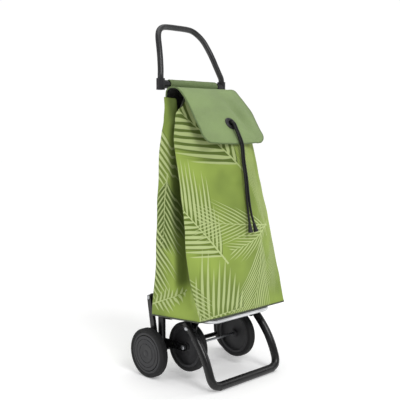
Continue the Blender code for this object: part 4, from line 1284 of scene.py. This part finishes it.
def tyre_profile():
    """A round-shouldered tread with three fine grooves."""
    half = [(-WHEEL_HALF + 0.0012, TYRE_INNER), (-WHEEL_HALF, TYRE_INNER + 0.0012)]
    half.append((-WHEEL_HALF, 0.0685))
    for k in range(7):
        a = math.pi / 2 * k / 6
        half.append((-WHEEL_HALF + 0.0058 * (1 - math.cos(a)), 0.0690 + 0.0060 * math.sin(a)))
    half += [(-0.0056, WHEEL_RADIUS), (-0.0050, 0.0742), (-0.0042, 0.0742)]
    half += [(-0.0036, WHEEL_RADIUS), (-0.0009, WHEEL_RADIUS)]
    return both_sides(half, [(-0.0004, 0.0743), (0.0004, 0.0743)])


def rim_profile(hub_out):
    """A disc with a hub and an outer band. The hub reaches hub_out on its outer side."""
    band = WHEEL_HALF - 0.0015
    half = [(0.0025, 0.0155), (0.0025, 0.0520), (0.0035, 0.0535)]
    half += [(band - 0.001, 0.0545), (band, 0.0555), (band, 0.0622)]
    hub = [(hub_out, 0.0043), (hub_out, 0.0105), (hub_out - 0.0012, 0.0120), (0.0040, 0.0128)]
    far = [(-0.0040, 0.0128), (-0.0106, 0.0120), (-0.0118, 0.0105), (-0.0118, 0.0043)]
    return hub + both_sides(half) + far


def cap_profile():
    """The outer wheels' cap: a shallow dish with two ring grooves and a boss."""
    base, face = 0.0092, 0.0122
    rings = ((-0.0010, 0.0533), (0, 0.0525), (0, 0.0440), (-0.0012, 0.0434), (-0.0012, 0.0424))
    rings += ((0, 0.0418), (0.0003, 0.0300), (-0.0008, 0.0294), (-0.0008, 0.0284))
    rings += ((0.0004, 0.0278), (0.0006, 0.0120), (0.0002, 0.0110), (0.0008, 0.0095), (0.0009, 0))
    return [(base, 0), (base, 0.0533)] + [(face + out, radius) for out, radius in rings]


def make_wheels():
    for side, sign in SIDES:
        axis = (sign, 0, 0)

        def part(wheel, kind, profile, centre, paint, segments):
            node = f"{wheel}_{kind}"
            turned(f"{node}_fine", profile, centre, axis, paint, wheel, (node,), segments)

        rear, rear_centre = f"rear_wheel_{side}", at(sign * REAR_WHEEL_X, 0, WHEEL_RADIUS)
        front = f"front_wheel_{side}"
        front_centre = at(sign * FRONT_WHEEL_X, FRONT_AXLE_Y, FRONT_AXLE_Z)
        for name, centre, hub in ((rear, rear_centre, 0.0089), (front, front_centre, 0.0118)):
            part(name, "tyre", tyre_profile(), centre, TYRE, 96)
            part(name, "rim", rim_profile(hub), centre, CAP, 72)
        part(rear, "cap", cap_profile(), rear_centre, CAP, 72)


make_wheels()

# ---------------------------------------------------------------- CAD nodes that stay

SLOT_PAINTS = {
    "powder_black": BLACK,
    "moulded_black": PLASTIC,
    "aluminium": ALUMINIUM,
    "zinc_steel": STEEL,
    "tyre_foam": TYRE,
    "rim_plastic": CAP,
    "printed_fabric": PRINT,
    "plain_fabric": GREEN,
    "stiff_board": BOARD,
    "black_cord": CORD,
}
for row in frame["record"]["subparts"]:
    paints = frame["nodes"][row["node"]].data.materials
    paints.clear()
    paints.append(SLOT_PAINTS[row["material_slot"]])
